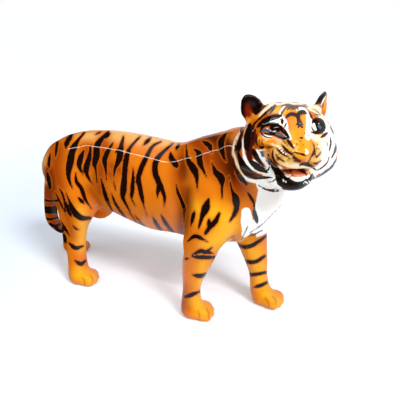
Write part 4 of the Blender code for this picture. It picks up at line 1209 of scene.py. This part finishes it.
# matt white paper, as tables in a light tent are covered with: no shine, so the eye sees only the soft
# shadow, deepened at the far left by a painted bluish shade
paper = bpy.data.materials.new("matt_white_paper")
nodes, links = fresh_nodes(paper)
PAPER_LIT, PAPER_PAINTED_SHADE = linear("#F0F5FC"), linear("#DCE7F5")
LIFT_LIT, LIFT_IN_PAINTED_SHADE = 0.17, 0.02
# where the painted shade lies: left of the middle, fading out further behind
PAINTED_SHADE_FROM_MIDDLE, PAINTED_SHADE_NEAR, PAINTED_SHADE_FAR = 0.2, 0.2, 0.7
at = add("ShaderNodeTexCoord").outputs["Object"]
leftward = (-rightward.x, -rightward.y, 0)
behind = (-backward.x, -backward.y, 0)
left = add("ShaderNodeVectorMath", {0: at, 1: leftward}, operation="DOT_PRODUCT").outputs["Value"]
back = add("ShaderNodeVectorMath", {0: at, 1: behind}, operation="DOT_PRODUCT").outputs["Value"]
left = add("ShaderNodeMapRange", {"Value": left, "From Min": 0.0, "From Max": PAINTED_SHADE_FROM_MIDDLE}).outputs[0]
fading = {"Value": back, "From Min": PAINTED_SHADE_NEAR, "From Max": PAINTED_SHADE_FAR, "To Min": 1, "To Max": 0}
back = add("ShaderNodeMapRange", fading).outputs[0]
painted_shade = add("ShaderNodeMath", {0: left, 1: back}, operation="MULTIPLY").outputs[0]
tone = add("ShaderNodeMix", {0: painted_shade, 6: PAPER_LIT, 7: PAPER_PAINTED_SHADE}, data_type="RGBA").outputs[2]
sheet = add("ShaderNodeBsdfDiffuse", {"Color": tone, "Roughness": 0.0})
bright = add("ShaderNodeMapRange", {"Value": painted_shade, "To Min": LIFT_LIT, "To Max": LIFT_IN_PAINTED_SHADE}).outputs[0]
lift = add("ShaderNodeMath", {0: looked_at(), 1: bright}, operation="MULTIPLY").outputs[0]
white = add("ShaderNodeEmission", {"Color": (1, 1, 1, 1), "Strength": lift})
both = add("ShaderNodeAddShader", {0: sheet.outputs[0], 1: white.outputs[0]})
add("ShaderNodeOutputMaterial", {"Surface": both.outputs[0]})
table.data.materials.append(paper)
print("table nodes:", len(nodes))


# %% Light
world = bpy.data.worlds.new("white_tent")
bpy.context.scene.world = world
nodes, links = fresh_nodes(world)
TENT_LIGHT, TENT_LOOKS = 0.5, 1.0
tent = {"Value": looked_at(), "To Min": TENT_LIGHT, "To Max": TENT_LOOKS}
strength = add("ShaderNodeMapRange", tent).outputs[0]
backdrop = add("ShaderNodeBackground", {"Color": (1, 1, 1, 1), "Strength": strength})
add("ShaderNodeOutputWorld", {"Surface": backdrop.outputs[0]})


def lamp(name, place_mm, aim_mm, size_mm, watts):
    """A soft rectangular lamp that looks at a place."""
    light = bpy.data.lights.new(name, "AREA")
    light.shape = "RECTANGLE"
    light.size, light.size_y = size_mm[0] * MM, size_mm[1] * MM
    light.energy = watts
    made = bpy.data.objects.new(name, light)
    bpy.context.scene.collection.objects.link(made)
    made.location = Vector(place_mm) * MM
    made.rotation_euler = (Vector(aim_mm) - Vector(place_mm)).to_track_quat("-Z", "Y").to_euler()


lamp("overhead tube", (-300, -300, 680), (-300, -20, 120), (1400, 30), 2.3)
lamp("small window", (420, -420, 420), (40, 0, 60), (70, 70), 0.35)

key = bpy.data.objects.new("soft key", bpy.data.lights.new("soft key", "SUN"))
bpy.context.scene.collection.objects.link(key)
key.data.energy = 2.1
key.data.angle = math.radians(16)
key.rotation_euler = Vector((-0.66, 0.36, -0.66)).to_track_quat("-Z", "Y").to_euler()


# %% Dark card
CARD_RADIUS, CARD_HEIGHT, CARD_START, CARD_LIFT = 1.6, 2.8, 0.07, 0.004
OPEN_BACK_LEFT, OPEN_BACK_RIGHT = 1.1, -0.02
bpy.ops.object.select_all(action="DESELECT")
middle_of_card = (0, 0, CARD_HEIGHT / 2 + CARD_LIFT)
bpy.ops.mesh.primitive_cylinder_add(
    vertices=64, radius=CARD_RADIUS, depth=CARD_HEIGHT, end_fill_type="NOTHING", location=middle_of_card
)
card = bpy.context.object
card.name = "dark_card"
bpy.ops.object.transform_apply(location=True)


def at_the_foot(edge):
    """Whether an edge is on the card's lower rim."""
    return all(card.data.vertices[v].co.z < CARD_HEIGHT / 2 for v in edge.vertices)


edit_only("edges", at_the_foot)
bpy.ops.mesh.extrude_edges_move()
shrink = CARD_START / CARD_RADIUS
bpy.ops.transform.resize(value=(shrink, shrink, 1), center_override=(0, 0, 0))


def open_side(side):
    """Whether a side of the card is left out, so that light falls in from behind."""
    return side.center.y > (OPEN_BACK_LEFT if side.center.x < 0 else OPEN_BACK_RIGHT)


edit_only("polygons", open_side)
bpy.ops.mesh.delete(type="FACE")
bpy.ops.object.mode_set(mode="OBJECT")
# emission on the card, seen only in reflections: the darker it is, the deeper the colours under the glaze
# look; where it glows, at its foot, its top and its open ends, the glaze shows a painted reflection of light
card_glow = bpy.data.materials.new("card_glow_in_reflections")
nodes, links = fresh_nodes(card_glow)
NEAR_END, NEAR_GLOW = 0.17, 0.08
HIGH_FROM, HIGH_TO = 1.9, 2.8
DARKEST, BRIGHTEST = 0.01, 0.85
at = add("ShaderNodeTexCoord").outputs["Object"]
spot = add("ShaderNodeSeparateXYZ", {0: at}).outputs
flat = add("ShaderNodeVectorMath", {0: at, 1: (1, 1, 0)}, operation="MULTIPLY").outputs[0]
out = add("ShaderNodeVectorMath", {0: flat}, operation="LENGTH").outputs["Value"]
at_foot = {"Value": out, "From Min": CARD_START, "From Max": NEAR_END, "To Min": NEAR_GLOW, "To Max": 0}
near = add("ShaderNodeMapRange", at_foot)
high = add("ShaderNodeMapRange", {"Value": spot["Z"], "From Min": HIGH_FROM, "From Max": HIGH_TO})
leftmost = add("ShaderNodeMath", {0: spot["X"], 1: 0.0}, operation="MINIMUM").outputs[0]
turned = add("ShaderNodeMath", {0: leftmost, 1: 3.0, 2: spot["Y"]}, operation="MULTIPLY_ADD").outputs[0]
ends = add("ShaderNodeMapRange", {"Value": turned, "From Min": -0.5, "From Max": 0})
glow = add("ShaderNodeMath", {0: near.outputs[0], 1: high.outputs[0]}, operation="MAXIMUM").outputs[0]
glow = add("ShaderNodeMath", {0: glow, 1: ends.outputs[0]}, operation="MAXIMUM").outputs[0]
shades = {"Value": glow, "To Min": DARKEST, "To Max": BRIGHTEST}
glow = add("ShaderNodeMapRange", shades, interpolation_type="SMOOTHSTEP").outputs[0]
card_emission = add("ShaderNodeEmission", {"Color": (1, 1, 1, 1), "Strength": glow})
add("ShaderNodeOutputMaterial", {"Surface": card_emission.outputs[0]})
card.data.materials.append(card_glow)
card.visible_camera = card.visible_diffuse = card.visible_shadow = card.visible_transmission = False
print("card sides:", len(card.data.polygons))


# %% View transform
bpy.context.scene.view_settings.view_transform = "Standard"
